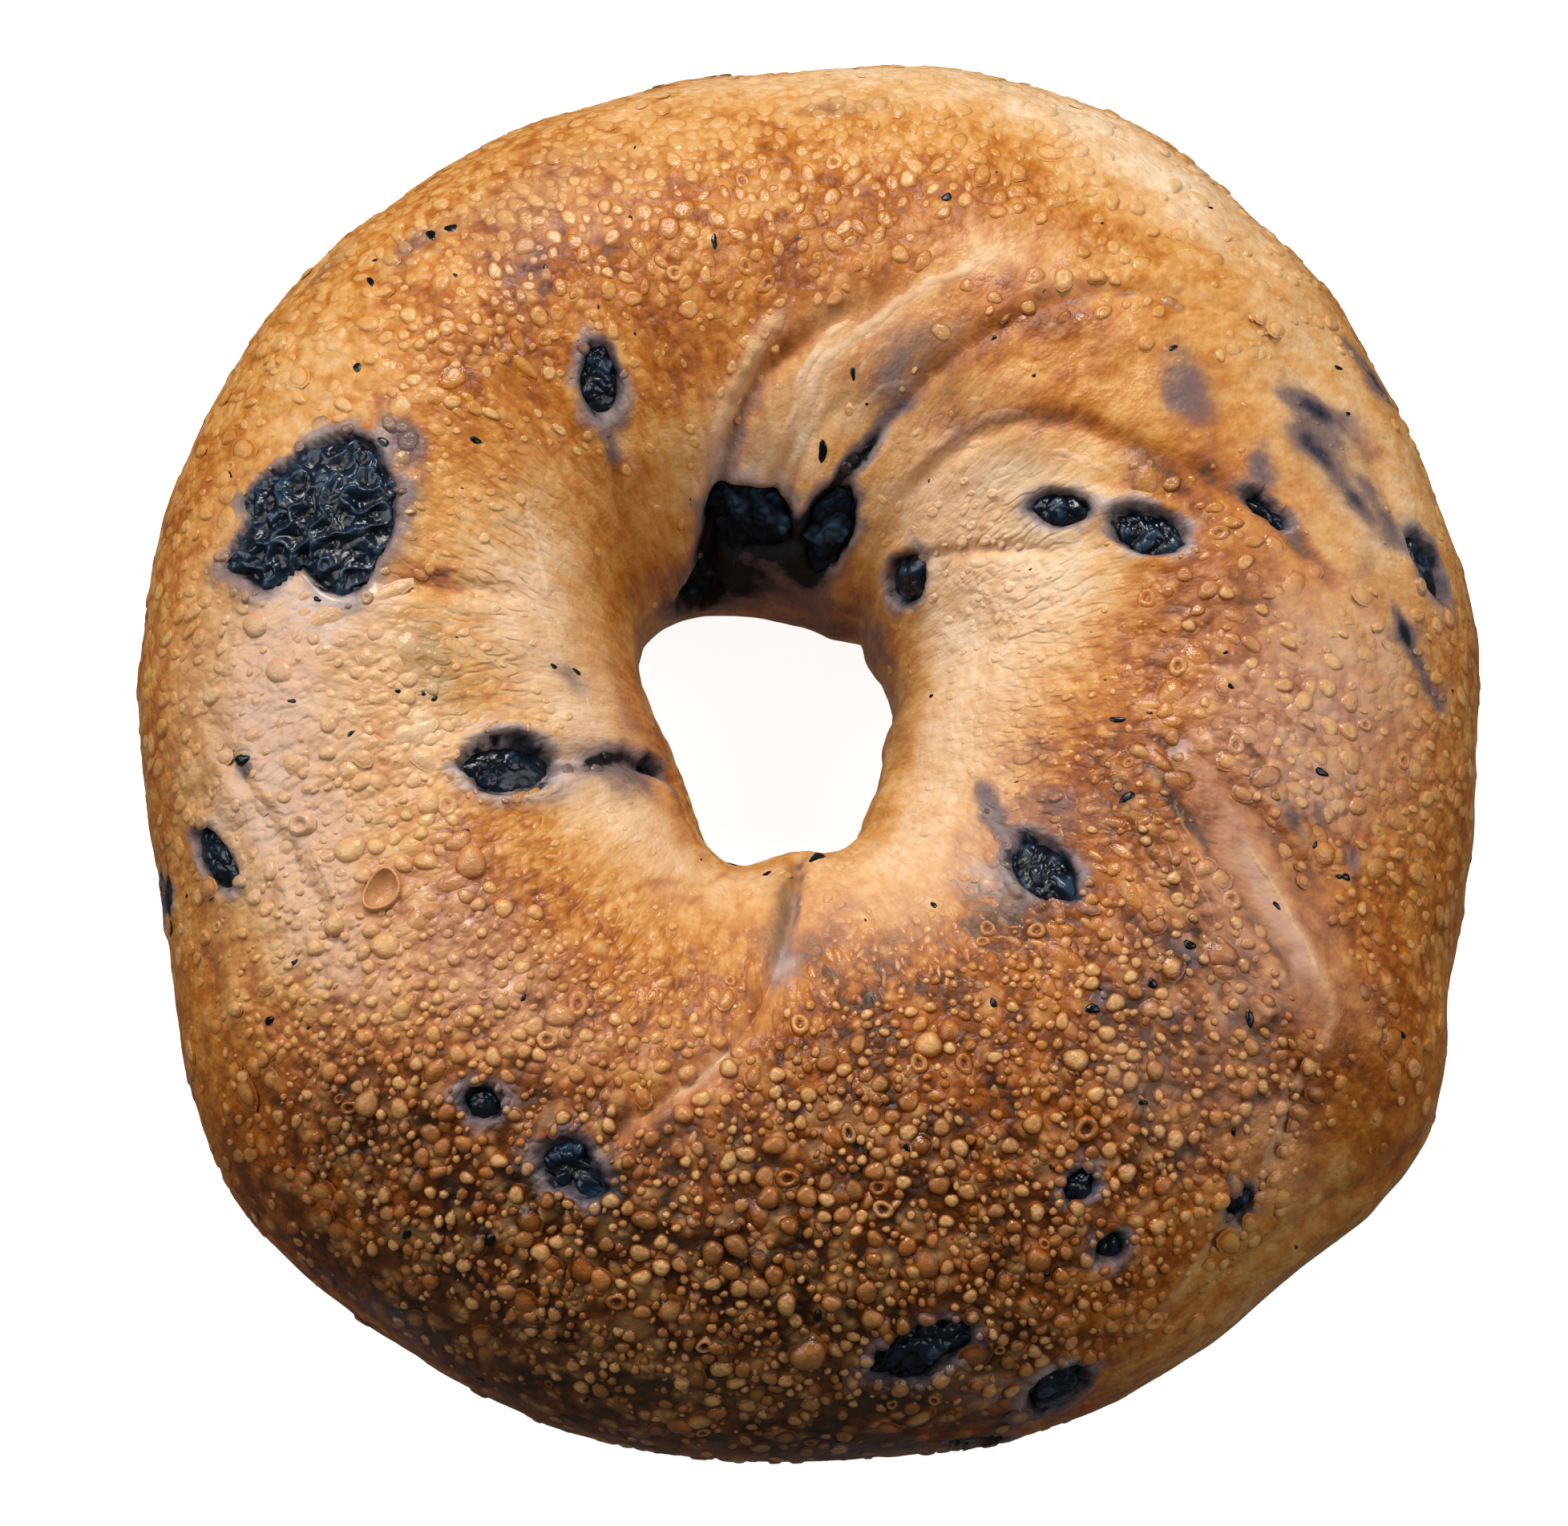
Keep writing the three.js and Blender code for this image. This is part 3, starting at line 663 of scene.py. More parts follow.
# %% Where blisters crowd
CROWD_OVER = [-90, -40, -20, 5, 25, 95, 112, 128, 150, 270]
CROWD = [0.0, 0.0, 0.05, 0.18, 0.46, 0.5, 0.3, 0.08, 0.02, 0.0]
CROWD_SPOTS = [
    [268, 58, 40, 14, 0.8], [240, 70, 20, 10, 0.3], [310, 70, 24, 12, 0.35], [300, 94, 14, 5, 0.3],
    [100, 72, 34, 12, 0.35], [60, 36, 24, 8, -0.35], [20, 50, 13, 11, -0.7], [35, 78, 12, 5, -0.4],
    [176, 62, 10, 6, 0.1], [186, 58, 4, 2.5, -0.3], [334, 72, 3.5, 7, -0.8], [328, 58, 2.6, 5, -0.8],
    [162, 75, 7, 7, -0.6], [48, 96, 10, 5, -0.5], [68, 104, 8, 4, -0.4], [22, 106, 10, 5, -0.5],
    [255, 84, 5, 3, -0.35], [275, 118, 3, 5, -0.3], [300, 12, 14, 5, -0.3], [348, 66, 10, 8, 0.25],
    [188, 72, 22, 12, -0.22], [204, 58, 12, 8, -0.15], [214, 24, 16, 8, -0.35], [312, 14, 20, 8, -0.35],
    [320, 40, 14, 10, -0.3], [352, 130, 16, 7, 0.35], [306, 114, 16, 7, 0.45], [245, 110, 12, 5, 0.3],
    [20, 128, 8, 5, 0.25], [120, 62, 16, 10, 0.3],
]
PROUD_OVER = [-90, 0, 20, 50, 100, 130, 270]
PROUD_BY_OVER = [0.2, 0.2, 0.36, 0.56, 0.5, 0.3, 0.2]
PROUD_SPOTS = [
    [272, 62, 45, 16, 0.5], [350, 62, 24, 14, -0.2], [95, 60, 40, 18, -0.35], [185, 55, 22, 14, -0.15],
    [0, 15, 40, 9, -0.2], [170, 15, 50, 10, -0.25],
]


def crowding(around, over):
    """How crowded with blisters each place is, from 0 to 1."""
    crowd = np.interp(wrapped(over), CROWD_OVER, CROWD) + patches(around, over, CROWD_SPOTS)
    return np.clip(crowd, 0, 1)


def proudness(around, over):
    """How far blisters stand out at each place, from nearly flat to 1."""
    raised = np.interp(wrapped(over), PROUD_OVER, PROUD_BY_OVER) + patches(around, over, PROUD_SPOTS)
    return np.clip(raised, 0.12, 1)


FRONT_AND_BACK = np.array([270.0, 90.0]), np.array([60.0, 60.0])
print("crowding, front and back:", crowding(*FRONT_AND_BACK).round(2))
print("proudness, front and back:", proudness(*FRONT_AND_BACK).round(2))

# %% [markdown]
# A blister is placed by throwing a dart at the ring: it stays if the place is crowded enough and no other
# blister is in the way. Blender's Poisson disc scattering does much the same, but can't grow its discs
# with the place.

# %% How a dart is thrown
BLISTERED = (-40, 200)  # degrees over between which blisters lie
WIDEST = 62  # mm from the middle of the hole to the far side of the rim
CELL = 3  # mm, the size of a cell in the grid that keeps the places taken


def cell_of(point):
    """The cell of the grid that a point is in."""
    return tuple((point // CELL).astype(int))


def free_of_berries(points, margin):
    """True where no berry's opening is within margin mm."""
    free = np.ones(len(points), bool)
    for berry in berries:
        near = np.linalg.norm(points - berry["centre"], axis=1) < berry["shown"].max() * 1.4 + 4
        free[near] &= gap_beside(berry, points[near]) > margin[near]
    return free


def thrown(seed, darts, sizes, crowd, taken, closeness):
    """Places for discs of the given sizes: rows of around, over and radius, none nearer to another than
    closeness times their radii together. taken keeps all discs so far, by cells of a coarse grid. Discs
    are smaller toward the hole. Fewer darts stay near it, where the same angle covers less dough."""
    rng = np.random.default_rng(seed)
    around = rng.uniform(0, 360, darts)
    over = rng.uniform(*BLISTERED, darts)
    points = ring_points(around, over)
    reach = np.hypot(*(points - HOLE_AT)[:, :2].T)
    radius = sizes(rng, around, over) * (1 - 0.45 * ease(over, 92, 112))
    crowded = crowd(around, over) + painted(points, LINES["crowd"])
    keep = rng.uniform(0, 1, darts) < crowded * reach / WIDEST
    keep &= free_of_berries(points, radius * 0.7)
    kept = []
    for i in np.flatnonzero(keep):
        point, r = points[i], radius[i]
        cell = cell_of(point)
        beside = [
            other
            for dx in (-1, 0, 1) for dy in (-1, 0, 1) for dz in (-1, 0, 1)
            for other in taken.get((cell[0] + dx, cell[1] + dy, cell[2] + dz), ())
        ]
        if beside:
            gaps = np.array(beside)
            if (np.linalg.norm(gaps[:, :3] - point, axis=1) < closeness * (gaps[:, 3] + r)).any():
                continue
        taken.setdefault(cell, []).append((*point, r))
        kept.append(i)
    return np.stack([around[kept], over[kept], radius[kept]], -1)


# %% [markdown]
# The widest blisters aren't separate bubbles but humps of the crust itself, a few millimetres across and
# crowded against each other. They are raised in the crust's own mesh, and painted shade darkens the gaps
# between them.

# %% Humps in the crust
WIDE_HUMPS = [[268, 58, 44, 16, 1], [192, 64, 20, 12, 1]]


def hump_sizes(rng, around, over):
    wide = np.clip(patches(around, over, WIDE_HUMPS), 0, 1)
    return rng.uniform(0.8, 1.2 + 0.7 * wide)


HUMPS = thrown(7, 12000, hump_sizes, lambda a, o: 0.9 * crowding(a, o), {}, 0.74)
HUMP_POINTS = ring_points(HUMPS[:, 0], HUMPS[:, 1])
HUMP_HEIGHTS = HUMPS[:, 2] * 0.30 * proudness(HUMPS[:, 0], HUMPS[:, 1])
HUMP_HEIGHTS *= np.random.default_rng(8).uniform(0.5, 1.2, len(HUMPS))
print("humps:", len(HUMPS))


def hump_field(points):
    """How far the humps raise each point, and how near it is to the top of one, from 0 to 1."""
    rise = np.zeros(len(points))
    top = np.zeros(len(points))
    warped = points + 0.25 * np.stack([cloud(points, 1.8, seed) for seed in (45, 46, 47)], -1)
    for middle, radius, tall in zip(HUMP_POINTS, HUMPS[:, 2], HUMP_HEIGHTS):
        near = np.flatnonzero(np.abs(warped[:, 0] - middle[0]) < radius)
        far = np.linalg.norm(warped[near] - middle, axis=1) / radius
        bulge = np.clip(1 - far * far, 0, 1) ** 0.7
        rise[near] = np.maximum(rise[near], tall * bulge)
        top[near] = np.maximum(top[near], bulge)
    return rise, top


# %% [markdown]
# ## The crust
#
# The crust is one closed skin. It starts as a torus, subdivided until a vertex stands every half
# millimetre, and then each vertex goes to its place on the ring, moved out or in by the folds, the berry
# sockets and the unevenness of the dough. A sculpt would do the same by hand, but couldn't follow the
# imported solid.
#
# The rows of vertices aren't spread evenly: the top has more of them and the flat base few.

# %% Where the rows of the crust lie
STEPS_AROUND = 184
STEPS_OVER = 60
CUTS = 2  # each step is cut into three
ROWS_AROUND = STEPS_AROUND * (CUTS + 1)
ROWS_OVER = STEPS_OVER * (CUTS + 1)
DENSE_OVER = [-90, -50, -20, 20, 150, 200, 240, 270]
DENSE = [0.3, 0.5, 1, 1.3, 1.3, 1, 0.5, 0.3]


def row_angles():
    """The angle over of each row."""
    fine = np.linspace(0, 360, 3601)
    weight = np.interp(wrapped(fine), DENSE_OVER, DENSE)
    run = np.concatenate([[0], np.cumsum((weight[1:] + weight[:-1]) / 2)])
    return np.interp(np.arange(ROWS_OVER) / ROWS_OVER * run[-1], run, fine)


ROW_OVER = row_angles()
print("rows:", ROWS_AROUND, "around and", ROWS_OVER, "over")


# %% Move the crust
def unpulled(around, over, points):
    """Where each place would lie if the dough hadn't been pulled toward the hole. A pattern laid on these
    places comes out stretched on the real ones, and more so near the hole."""
    middle = (outline(RIM, around) + outline(HOLE, around)) / 2
    pull = 0.6 - 0.1 * ease(wrapped(over), 80, 110)
    reach = middle + (np.hypot(*(points - HOLE_AT)[:, :2].T) - middle) * pull
    turn = np.radians(around)
    height = CROWN + (points[:, 2] - CROWN) * pull
    return np.stack([reach * np.cos(turn), reach * np.sin(turn), height], -1)


def crust_relief(around, over):
    """The crust's real points, the way out at each, and the marks there: the crease depth, halo stain,
    torn skin and hump tops, from 0 to 1, and the unpulled places."""
    base = ring_points(around, over)
    out = ring_directions(around, over)[2]
    above = ease(np.sin(np.radians(over)), 0, FOLD_WAIST)
    folds, crease = fold_field(base, out)
    sockets, stain, torn = socket_field(base)
    humps, top = hump_field(base)
    flow = unpulled(around, over, base)
    stretched = ease(wrapped(over), 92, 125) * ease(215 - wrapped(over), 0, 40)
    streaks = 0.14 * stretched * cloud(flow, 2.8, 21)
    lumps = 0.42 * cloud(base, 15, 11) + 0.24 * cloud(base, 6.5, 12) + 0.12 * cloud(base, 2.8, 13)
    side = ease(np.sin(np.radians(over)), -0.75, -0.3)  # the base stays flat
    move = folds * above + (lumps + streaks + humps) * side + sockets
    marks = {"crease": crease * above, "stain": stain, "torn": torn, "hump": top, "flow": flow}
    return base + move[:, None] * out, out, marks


# %% [markdown]
# `primitive_torus_add` gives the rings and rows, and `subdivide` cuts each face into nine. After that the
# order of the vertices isn't known, so each vertex is asked for its own two angles.

# %% Shape the crust
TORUS_REACH = DOUGH_REACH * MM
TORUS_THICK = 20 * MM

bpy.ops.mesh.primitive_torus_add(
    major_segments=STEPS_AROUND, minor_segments=STEPS_OVER,
    major_radius=TORUS_REACH, minor_radius=TORUS_THICK,
)
crust = bpy.context.object
crust.name = "crust"
bpy.ops.object.mode_set(mode="EDIT")
bpy.ops.mesh.select_all(action="SELECT")
bpy.ops.mesh.subdivide(number_cuts=CUTS)
bpy.ops.object.mode_set(mode="OBJECT")


def positions(mesh):
    """The places of a mesh's vertices, in metres."""
    made = np.empty(len(mesh.vertices) * 3)
    mesh.vertices.foreach_get("co", made)
    return made.reshape(-1, 3)


def move_to(mesh, points):
    """Puts a mesh's vertices at points given in mm."""
    mesh.vertices.foreach_set("co", (np.asarray(points) * MM).ravel())
    mesh.update()


def give(mesh, name, values):
    """Stores one number for each vertex, for the materials to read."""
    attribute = mesh.attributes.new(name, "FLOAT", "POINT")
    attribute.data.foreach_set("value", np.ascontiguousarray(values, dtype=np.float32))


torus = positions(crust.data)
turn = np.arctan2(torus[:, 1], torus[:, 0])
lean = np.arctan2(torus[:, 2], np.hypot(torus[:, 0], torus[:, 1]) - TORUS_REACH)
column = np.rint(np.degrees(turn) / 360 * ROWS_AROUND).astype(int) % ROWS_AROUND
row = np.rint(np.degrees(lean) / 360 * ROWS_OVER).astype(int) % ROWS_OVER
crust_around = column * 360.0 / ROWS_AROUND
crust_over = ROW_OVER[row]
crust_points, _, marks = crust_relief(crust_around, crust_over)
move_to(crust.data, crust_points)
print("crust:", len(crust.data.vertices), "vertices,", np.ptp(crust_points, axis=0).round(1), "mm")

# %% Store the fields on the crust
def give_fields(mesh, fields, marks):
    """Stores the crust's fields and marks on a mesh's vertices."""
    speckle = 1 + 0.5 * cloud(positions(mesh) / MM, 1.2, 31)
    fields["stain"] = np.maximum(fields["stain"], 0.9 * marks["stain"] * speckle)
    fields["torn"] = np.clip(np.maximum(fields["torn"], marks["torn"]) * speckle, 0, 1)
    # the crease depth, which the crust's material turns into painted shade
    fields["crease"] = marks["crease"]
    fields["hump"] = marks["hump"]
    for name, values in fields.items():
        give(mesh, name, values)
    flow = mesh.attributes.new("flow", "FLOAT_VECTOR", "POINT")
    flow.data.foreach_set("vector", marks["flow"].astype(np.float32).ravel())


give_fields(crust.data, crust_fields(crust_around, crust_over, crust_points), marks)
print("fields on the crust:", len(crust.data.attributes))

# %% [markdown]
# A torus unrolls into a rectangle, so the crust's UV map is simply its two sets of rows. The last face of
# each row would otherwise run back across the whole map, so its far corners get 1 in place of 0.

# %% Unroll the crust
def unroll(mesh, column, row):
    """Gives each face's corners their place in the two sets of rows."""
    corner = np.empty(len(mesh.loops), int)
    mesh.loops.foreach_get("vertex_index", corner)
    u = (column[corner] / ROWS_AROUND).reshape(-1, 4)
    v = (row[corner] / ROWS_OVER).reshape(-1, 4)
    for way in (u, v):
        wraps = np.ptp(way, axis=1) > 0.5
        way[wraps] = np.where(way[wraps] < 0.5, way[wraps] + 1, way[wraps])
    uv = mesh.uv_layers.new(name="OFBake")
    uv.data.foreach_set("uv", np.stack([u.ravel(), v.ravel()], -1).ravel())


for old in list(crust.data.uv_layers):
    crust.data.uv_layers.remove(old)
unroll(crust.data, column, row)
crust.data.shade_smooth()
print("UV map:", crust.data.uv_layers[0].name)

# %% [markdown]
# ## Blisters
#
# The skin of a bagel that was boiled and then baked is crowded with blisters: small bubbles of dough that
# the oven blew up and browned. There are thousands, and each is too small to model by itself, so one of
# each kind is modelled with a few dozen faces and then copied, every copy with its own size, lie and
# shape. A particle system would scatter them faster, but its copies are alike and don't travel with the
# mesh.
#
# A few kinds are enough. Beads and round ones stand up on the front, low ones and tiny grains lie between
# them, and discs crowd on the back. Some burst and left a ring, and one tore open into a crater. A chip is
# for the bits of berry skin further on. Long ones, where the skin was pulled, are low ones stretched.

# %% One blister of each kind
def dome(sides, levels, tip):
    """A little round cap: a circle, extruded from one (radius, height) to the next, and closed with a tip.
    Returns its corners and faces."""
    bpy.ops.mesh.primitive_circle_add(vertices=sides, radius=1, fill_type="NOTHING")
    cap = bpy.context.object
    bpy.ops.object.mode_set(mode="EDIT")
    bpy.ops.mesh.select_all(action="SELECT")
    radius, height = levels[0]
    bpy.ops.transform.resize(value=(radius, radius, 1), center_override=(0, 0, 0))
    bpy.ops.transform.translate(value=(0, 0, height))
    for next_radius, next_height in levels[1:]:
        bpy.ops.mesh.extrude_edges_move(TRANSFORM_OT_translate={"value": (0, 0, next_height - height)})
        share = next_radius / radius
        bpy.ops.transform.resize(value=(share, share, 1), center_override=(0, 0, 0))
        radius, height = next_radius, next_height
    bpy.ops.mesh.edge_face_add()
    bpy.ops.mesh.poke()
    bpy.ops.mesh.select_all(action="SELECT")
    bpy.ops.mesh.normals_make_consistent(inside=False)
    bpy.ops.object.mode_set(mode="OBJECT")
    if sum(face.normal.z * face.area for face in cap.data.polygons) < 0:
        cap.data.flip_normals()
    corners = positions(cap.data)
    corners[np.hypot(corners[:, 0], corners[:, 1]) < 1e-4, 2] += tip
    faces = [tuple(face.vertices) for face in cap.data.polygons]
    bpy.data.objects.remove(cap)
    return corners, faces


KINDS = {
    # sides, (radius, height) of each ring from the foot up, rise of the tip
    "grain": dome(6, [(1.15, -0.12), (0.92, 0.40), (0.55, 0.84)], 0.14),
    "bead": dome(8, [(1.12, -0.20), (1.00, 0.18), (0.86, 0.62), (0.52, 0.90)], 0.08),
    "low": dome(10, [(1.45, -0.12), (1.12, 0.14), (0.82, 0.56), (0.44, 0.90)], 0.08),
    "round": dome(16, [(1.10, -0.20), (1.01, 0.12), (0.90, 0.50), (0.68, 0.82), (0.36, 0.96)], 0.03),
    "disc": dome(11, [(1.30, -0.15), (1.10, 0.20), (0.94, 0.68), (0.72, 1.0), (0.42, 0.94)], -0.04),
    "ring": dome(12, [(1.18, -0.15), (1.02, 0.25), (0.84, 0.80), (0.58, 0.82), (0.36, 0.20)], -0.10),
    "crater": dome(
        28, [(1.12, -0.4), (1.02, 0.2), (0.96, 0.42), (0.88, 0.42), (0.82, 0.0), (0.55, -0.55)], -0.1
    ),
    "chip": dome(12, [(1.10, -0.30), (0.90, 0.55), (0.50, 0.85)], 0.10),
}
for kind, (corners, faces) in KINDS.items():
    print(kind, len(faces), "faces")

# %% [markdown]
# Each kind has its own sizes, in mm of radius, and its own crowd: beads where blisters stand proud, discs
# where they lie flat. Large blisters that one would know by their place are listed first, and the
# darts of each kind keep clear of them and of each other.

# %% The sizes of blisters
FRONT = [[268, 58, 44, 16, 1]]


def bead_sizes(rng, around, over):
    large = rng.uniform(0, 1, len(around)) ** 2.0
    return 0.34 + large * (0.32 + 0.30 * np.clip(patches(around, over, FRONT), 0, 1))


def low_sizes(rng, around, over):
    return 0.34 + 0.70 * rng.uniform(0, 1, len(around)) ** 2.0


def disc_sizes(rng, around, over):
    return 0.34 + 0.50 * rng.uniform(0, 1, len(around)) ** 1.4


def grain_sizes(rng, around, over):
    return rng.uniform(0.17, 0.30, len(around))


# %% Blisters known by their place
HERO_DOMES = [
    # blisters large enough to be known by their place: around, over, radius
    [220, 78, 1.15], [218, 99, 1.3], [214, 98, 0.9], [214, 91, 0.9], [214, 70, 0.9], [243, 92, 1.1],
    [306, 81, 1.0], [274, 40, 1.4], [199, 81, 0.8], [206, 94, 0.9], [227, 100, 0.8], [231, 104, 0.7],
    [268, 62, 1.0], [270, 54, 0.9], [292, 95, 1.1], [227, 74, 0.8], [353, 64, 0.8], [344, 68, 0.55],
    [346, 68, 0.5], [344, 62, 0.6], [356, 60, 0.8], [357, 65, 0.8], [355, 70, 0.9], [350, 59, 1.0],
    [346, 56, 0.8], [267, 36, 0.9], [264, 18, 1.0], [230, 57, 1.1], [0, 64, 0.8], [176, 63, 1.1],
    [304, 16, 1.0], [294, 52, 1.0], [306, 24, 0.8], [92, 110, 0.7], [101, 102, 0.8], [62, 92, 0.6],
    [58, 92, 0.6], [54, 90, 0.65], [62, 102, 0.8], [185, 95, 0.7], [188, 94, 0.7], [182, 68, 1.1],
    [207, 76, 1.2], [63, 150, 0.4], [68, 130, 0.45],
]
HERO_RINGS = [
    [9, 100, 0.8], [295, 90, 0.75], [290, 92, 0.75], [308, 110, 0.7], [313, 103, 0.7], [273, 74, 0.8],
    [282, 67, 0.8], [303, 70, 1.0], [280, 81, 0.7], [258, 48, 0.8], [282, 71, 0.7], [276, 102, 0.8],
    [358, 94, 0.8], [243, 87, 0.8], [92, 94, 0.7], [89, 98, 0.7], [102, 94, 0.7], [92, 74, 0.7],
    [82, 70, 0.8], [352, 46, 0.7],
]
CRATER = [[214, 81, 1.6]]
SPECKS = [
    # bits of berry skin, which no blister covers
    [217, 49, 0.5], [246, 49, 0.7], [213, 100, 0.3], [311, 86, 0.6], [337, 100, 0.6], [349, 104, 0.5],
    [304, 122, 0.35], [124, 60, 0.6], [96, 88, 0.5], [69, 76, 0.5], [150, 85, 0.5], [142, 103, 0.45],
    [143, 70, 0.5], [73, 114, 0.4], [348, 65, 0.55], [322, 66, 0.55], [318, 82, 0.5], [324, 82, 0.5],
    [330, 37, 0.4], [180, 128, 0.3], [126, 58, 0.6], [275, 48, 0.5], [255, 8, 0.5], [239, 40, 0.5],
    [75, 130, 0.7], [339, 56, 0.4], [314, 52, 0.35], [302, 98, 0.4], [180, 134, 0.4], [186, 70, 0.3],
    [191, 56, 0.7], [0, 150, 0.3], [192, 81, 0.3], [134, 57, 0.5], [333, 70, 0.35], [260, 163, 0.9],
    [288, 150, 1.1], [272, 148, 0.5], [66, 128, 0.6], [30, 40, 0.4], [248, 8, 0.6],
]
print("large blisters:", len(HERO_DOMES) + len(HERO_RINGS) + len(CRATER), "specks:", len(SPECKS))


# %% Throw the rest
def bead_crowd(around, over):
    return 0.95 * crowding(around, over) * ease(proudness(around, over), 0.35, 0.8)


def disc_crowd(around, over):
    return 1.5 * crowding(around, over) * (1 - ease(proudness(around, over), 0.3, 0.5))


def low_crowd(around, over):
    return 0.8 * crowding(around, over) * ease(proudness(around, over), 0.3, 0.5)


def grain_crowd(around, over):
    return 0.08 + 0.4 * bead_crowd(around, over)


taken = {}
for rows, margin in ((HERO_DOMES + HERO_RINGS + CRATER, 0), (SPECKS, 0.2)):
    for at, over_at, radius in rows:
        point = ring_point(at, over_at)
        taken.setdefault(cell_of(point), []).append((*point, radius + margin))
bead_places = thrown(1, 40000, bead_sizes, bead_crowd, taken, 0.84)
low_places = thrown(2, 30000, low_sizes, low_crowd, taken, 0.72)
disc_places = thrown(4, 24000, disc_sizes, disc_crowd, taken, 0.92)
grain_places = thrown(3, 30000, grain_sizes, grain_crowd, taken, 0.8)
print("beads", len(bead_places), "low", len(low_places))
print("discs", len(disc_places), "grains", len(grain_places))


# %% [markdown]
# Each copy is stretched, turned and dented a little, lifted out of the crust at its place and joined to
# the others of its kind in one mesh. It also carries the crust's fields at its foot, its own random tone,
# and how high each corner is, so that the material can leave a dark line round its foot, partly browner
# skin and partly painted shade where the blister meets the crust.

# %% Join blisters into one mesh
def joined_blisters(name, kind, places, rng, height, stretch, sink=0.0, golden=0.5, dented=1.0):
    """One mesh of many blisters. height is their height and stretch their length, as shares of the
    radius: each a lowest and a highest value. golden is how far their tops turn golden and dented how
    uneven their outlines are."""
    corners, faces = KINDS[kind]
    around, over, radius = places.T
    foot, out, marks = crust_relief(around, over)
    way, inward, _ = ring_directions(around, over)
    count = len(around)
    lengthen = rng.uniform(*stretch, count)
    lie = rng.normal(0, 0.35, count)  # the long way runs over the dough, give or take
    lie[lengthen < 1.25] = rng.uniform(0, math.pi, (lengthen < 1.25).sum())
    long_way = np.cos(lie)[:, None] * inward + np.sin(lie)[:, None] * way
    cross_way = np.cross(out, long_way)
    tall = rng.uniform(*height, count) * radius * proudness(around, over)
    angle = np.arctan2(corners[:, 1], corners[:, 0])
    phase = rng.uniform(0, 2 * math.pi, (2, count, 1))
    dent = 0.09 * np.sin(2 * angle + phase[0]) + 0.06 * np.sin(3 * angle + phase[1])
    dent = 1 + dented * (dent + 0.02 * np.sin(5 * angle + 2 * phase[0]))
    x = corners[:, 0] * dent * (radius * np.sqrt(lengthen))[:, None]
    y = corners[:, 1] * dent * (radius / np.sqrt(lengthen))[:, None]
    lean = rng.normal(0, 0.12, (2, count, 1))
    z = corners[:, 2] * tall[:, None] * (1 + lean[0] * corners[:, 0] + lean[1] * corners[:, 1]) - sink
    points = (
        foot[:, None]
        + x[..., None] * long_way[:, None]
        + y[..., None] * cross_way[:, None]
        + z[..., None] * out[:, None]
    )
    step = len(corners) * np.arange(count)[:, None]
    mesh = bpy.data.meshes.new(name)
    sizes = np.tile([len(face) for face in faces], count)
    loops = (np.concatenate(faces)[None] + step).ravel()
    mesh.vertices.add(points.size // 3)
    mesh.loops.add(len(loops))
    mesh.polygons.add(len(sizes))
    mesh.vertices.foreach_set("co", (points * MM).ravel())
    mesh.loops.foreach_set("vertex_index", loops)
    mesh.polygons.foreach_set("loop_start", np.concatenate([[0], np.cumsum(sizes)[:-1]]))
    mesh.update(calc_edges=True)
    mesh.validate()
    mesh.shade_smooth()
    made = crust_fields(around, over, foot)
    made["stain"] = np.clip(np.maximum(made["stain"], 0.8 * marks["stain"]), 0, 1)
    made["golden"] = np.clip(golden * (0.25 + 1.6 * rng.uniform(0, 1, count) ** 2), 0, 1)
    made["shine"] = rng.uniform(0, 1, count)
    for field in ("browning_and_shade", "stain", "olive", "rosy_sheen", "cream", "golden", "shine"):
        give(mesh, field, np.repeat(made[field], len(corners)))
    give(mesh, "rise", np.tile(corners[:, 2], count))
    piece = bpy.data.objects.new(name, mesh)
    bpy.context.scene.collection.objects.link(piece)
    print(name, count, "blisters,", len(sizes), "faces")
    return piece


# %% Make the blisters
blisters = []
rng = np.random.default_rng(11)
burst = (rng.uniform(0, 1, len(low_places)) < 0.06) & (low_places[:, 2] > 0.45)
ring_places = np.concatenate([np.array(HERO_RINGS, float), low_places[burst]])
low_places = low_places[~burst]
large = bead_places[:, 2] > 0.52
round_places = np.concatenate([np.array(HERO_DOMES, float), bead_places[large]])
pulled = ease(low_places[:, 1], 84, 110) > rng.uniform(0.1, 0.9, len(low_places))
BLISTERS = [
    # name, kind, places, height, stretch, sink, golden
    ("beads", "bead", bead_places[~large], (0.7, 1.1), (1.0, 1.35), 0.03, 0.85),
    ("round_blisters", "round", round_places, (0.6, 0.9), (1.0, 1.25), 0.03, 0.95),
    ("low_blisters", "low", low_places[~pulled], (0.45, 0.85), (1.0, 1.6), 0.03, 0.55),
    ("long_blisters", "low", low_places[pulled], (0.3, 0.6), (1.8, 3.0), 0.03, 0.4),
    ("disc_blisters", "disc", disc_places, (0.75, 1.25), (1.0, 1.8), 0.02, 0.6),
    ("burst_blisters", "ring", ring_places, (0.6, 0.9), (1.0, 1.4), 0.03, 0.75),
    ("grains", "grain", grain_places, (0.6, 1.1), (1.0, 1.8), 0.02, 0.6),
    ("crater_blister", "crater", np.array(CRATER, float), (0.9, 0.9), (1.15, 1.15), -0.9, 0.3),
]
for name, kind, places, height, stretch, sink, golden in BLISTERS:
    blisters.append(joined_blisters(name, kind, places, rng, height, stretch, sink, golden))

# %% [markdown]
# ## Ridges
#
# Where the twist stretched the skin it gathered in thin ridges along the folds, like pulled toffee. The
# crust's own mesh is too coarse for them. Each is a strip of grid laid along its course, arched across and
# sunk into the crust at its edges and ends.

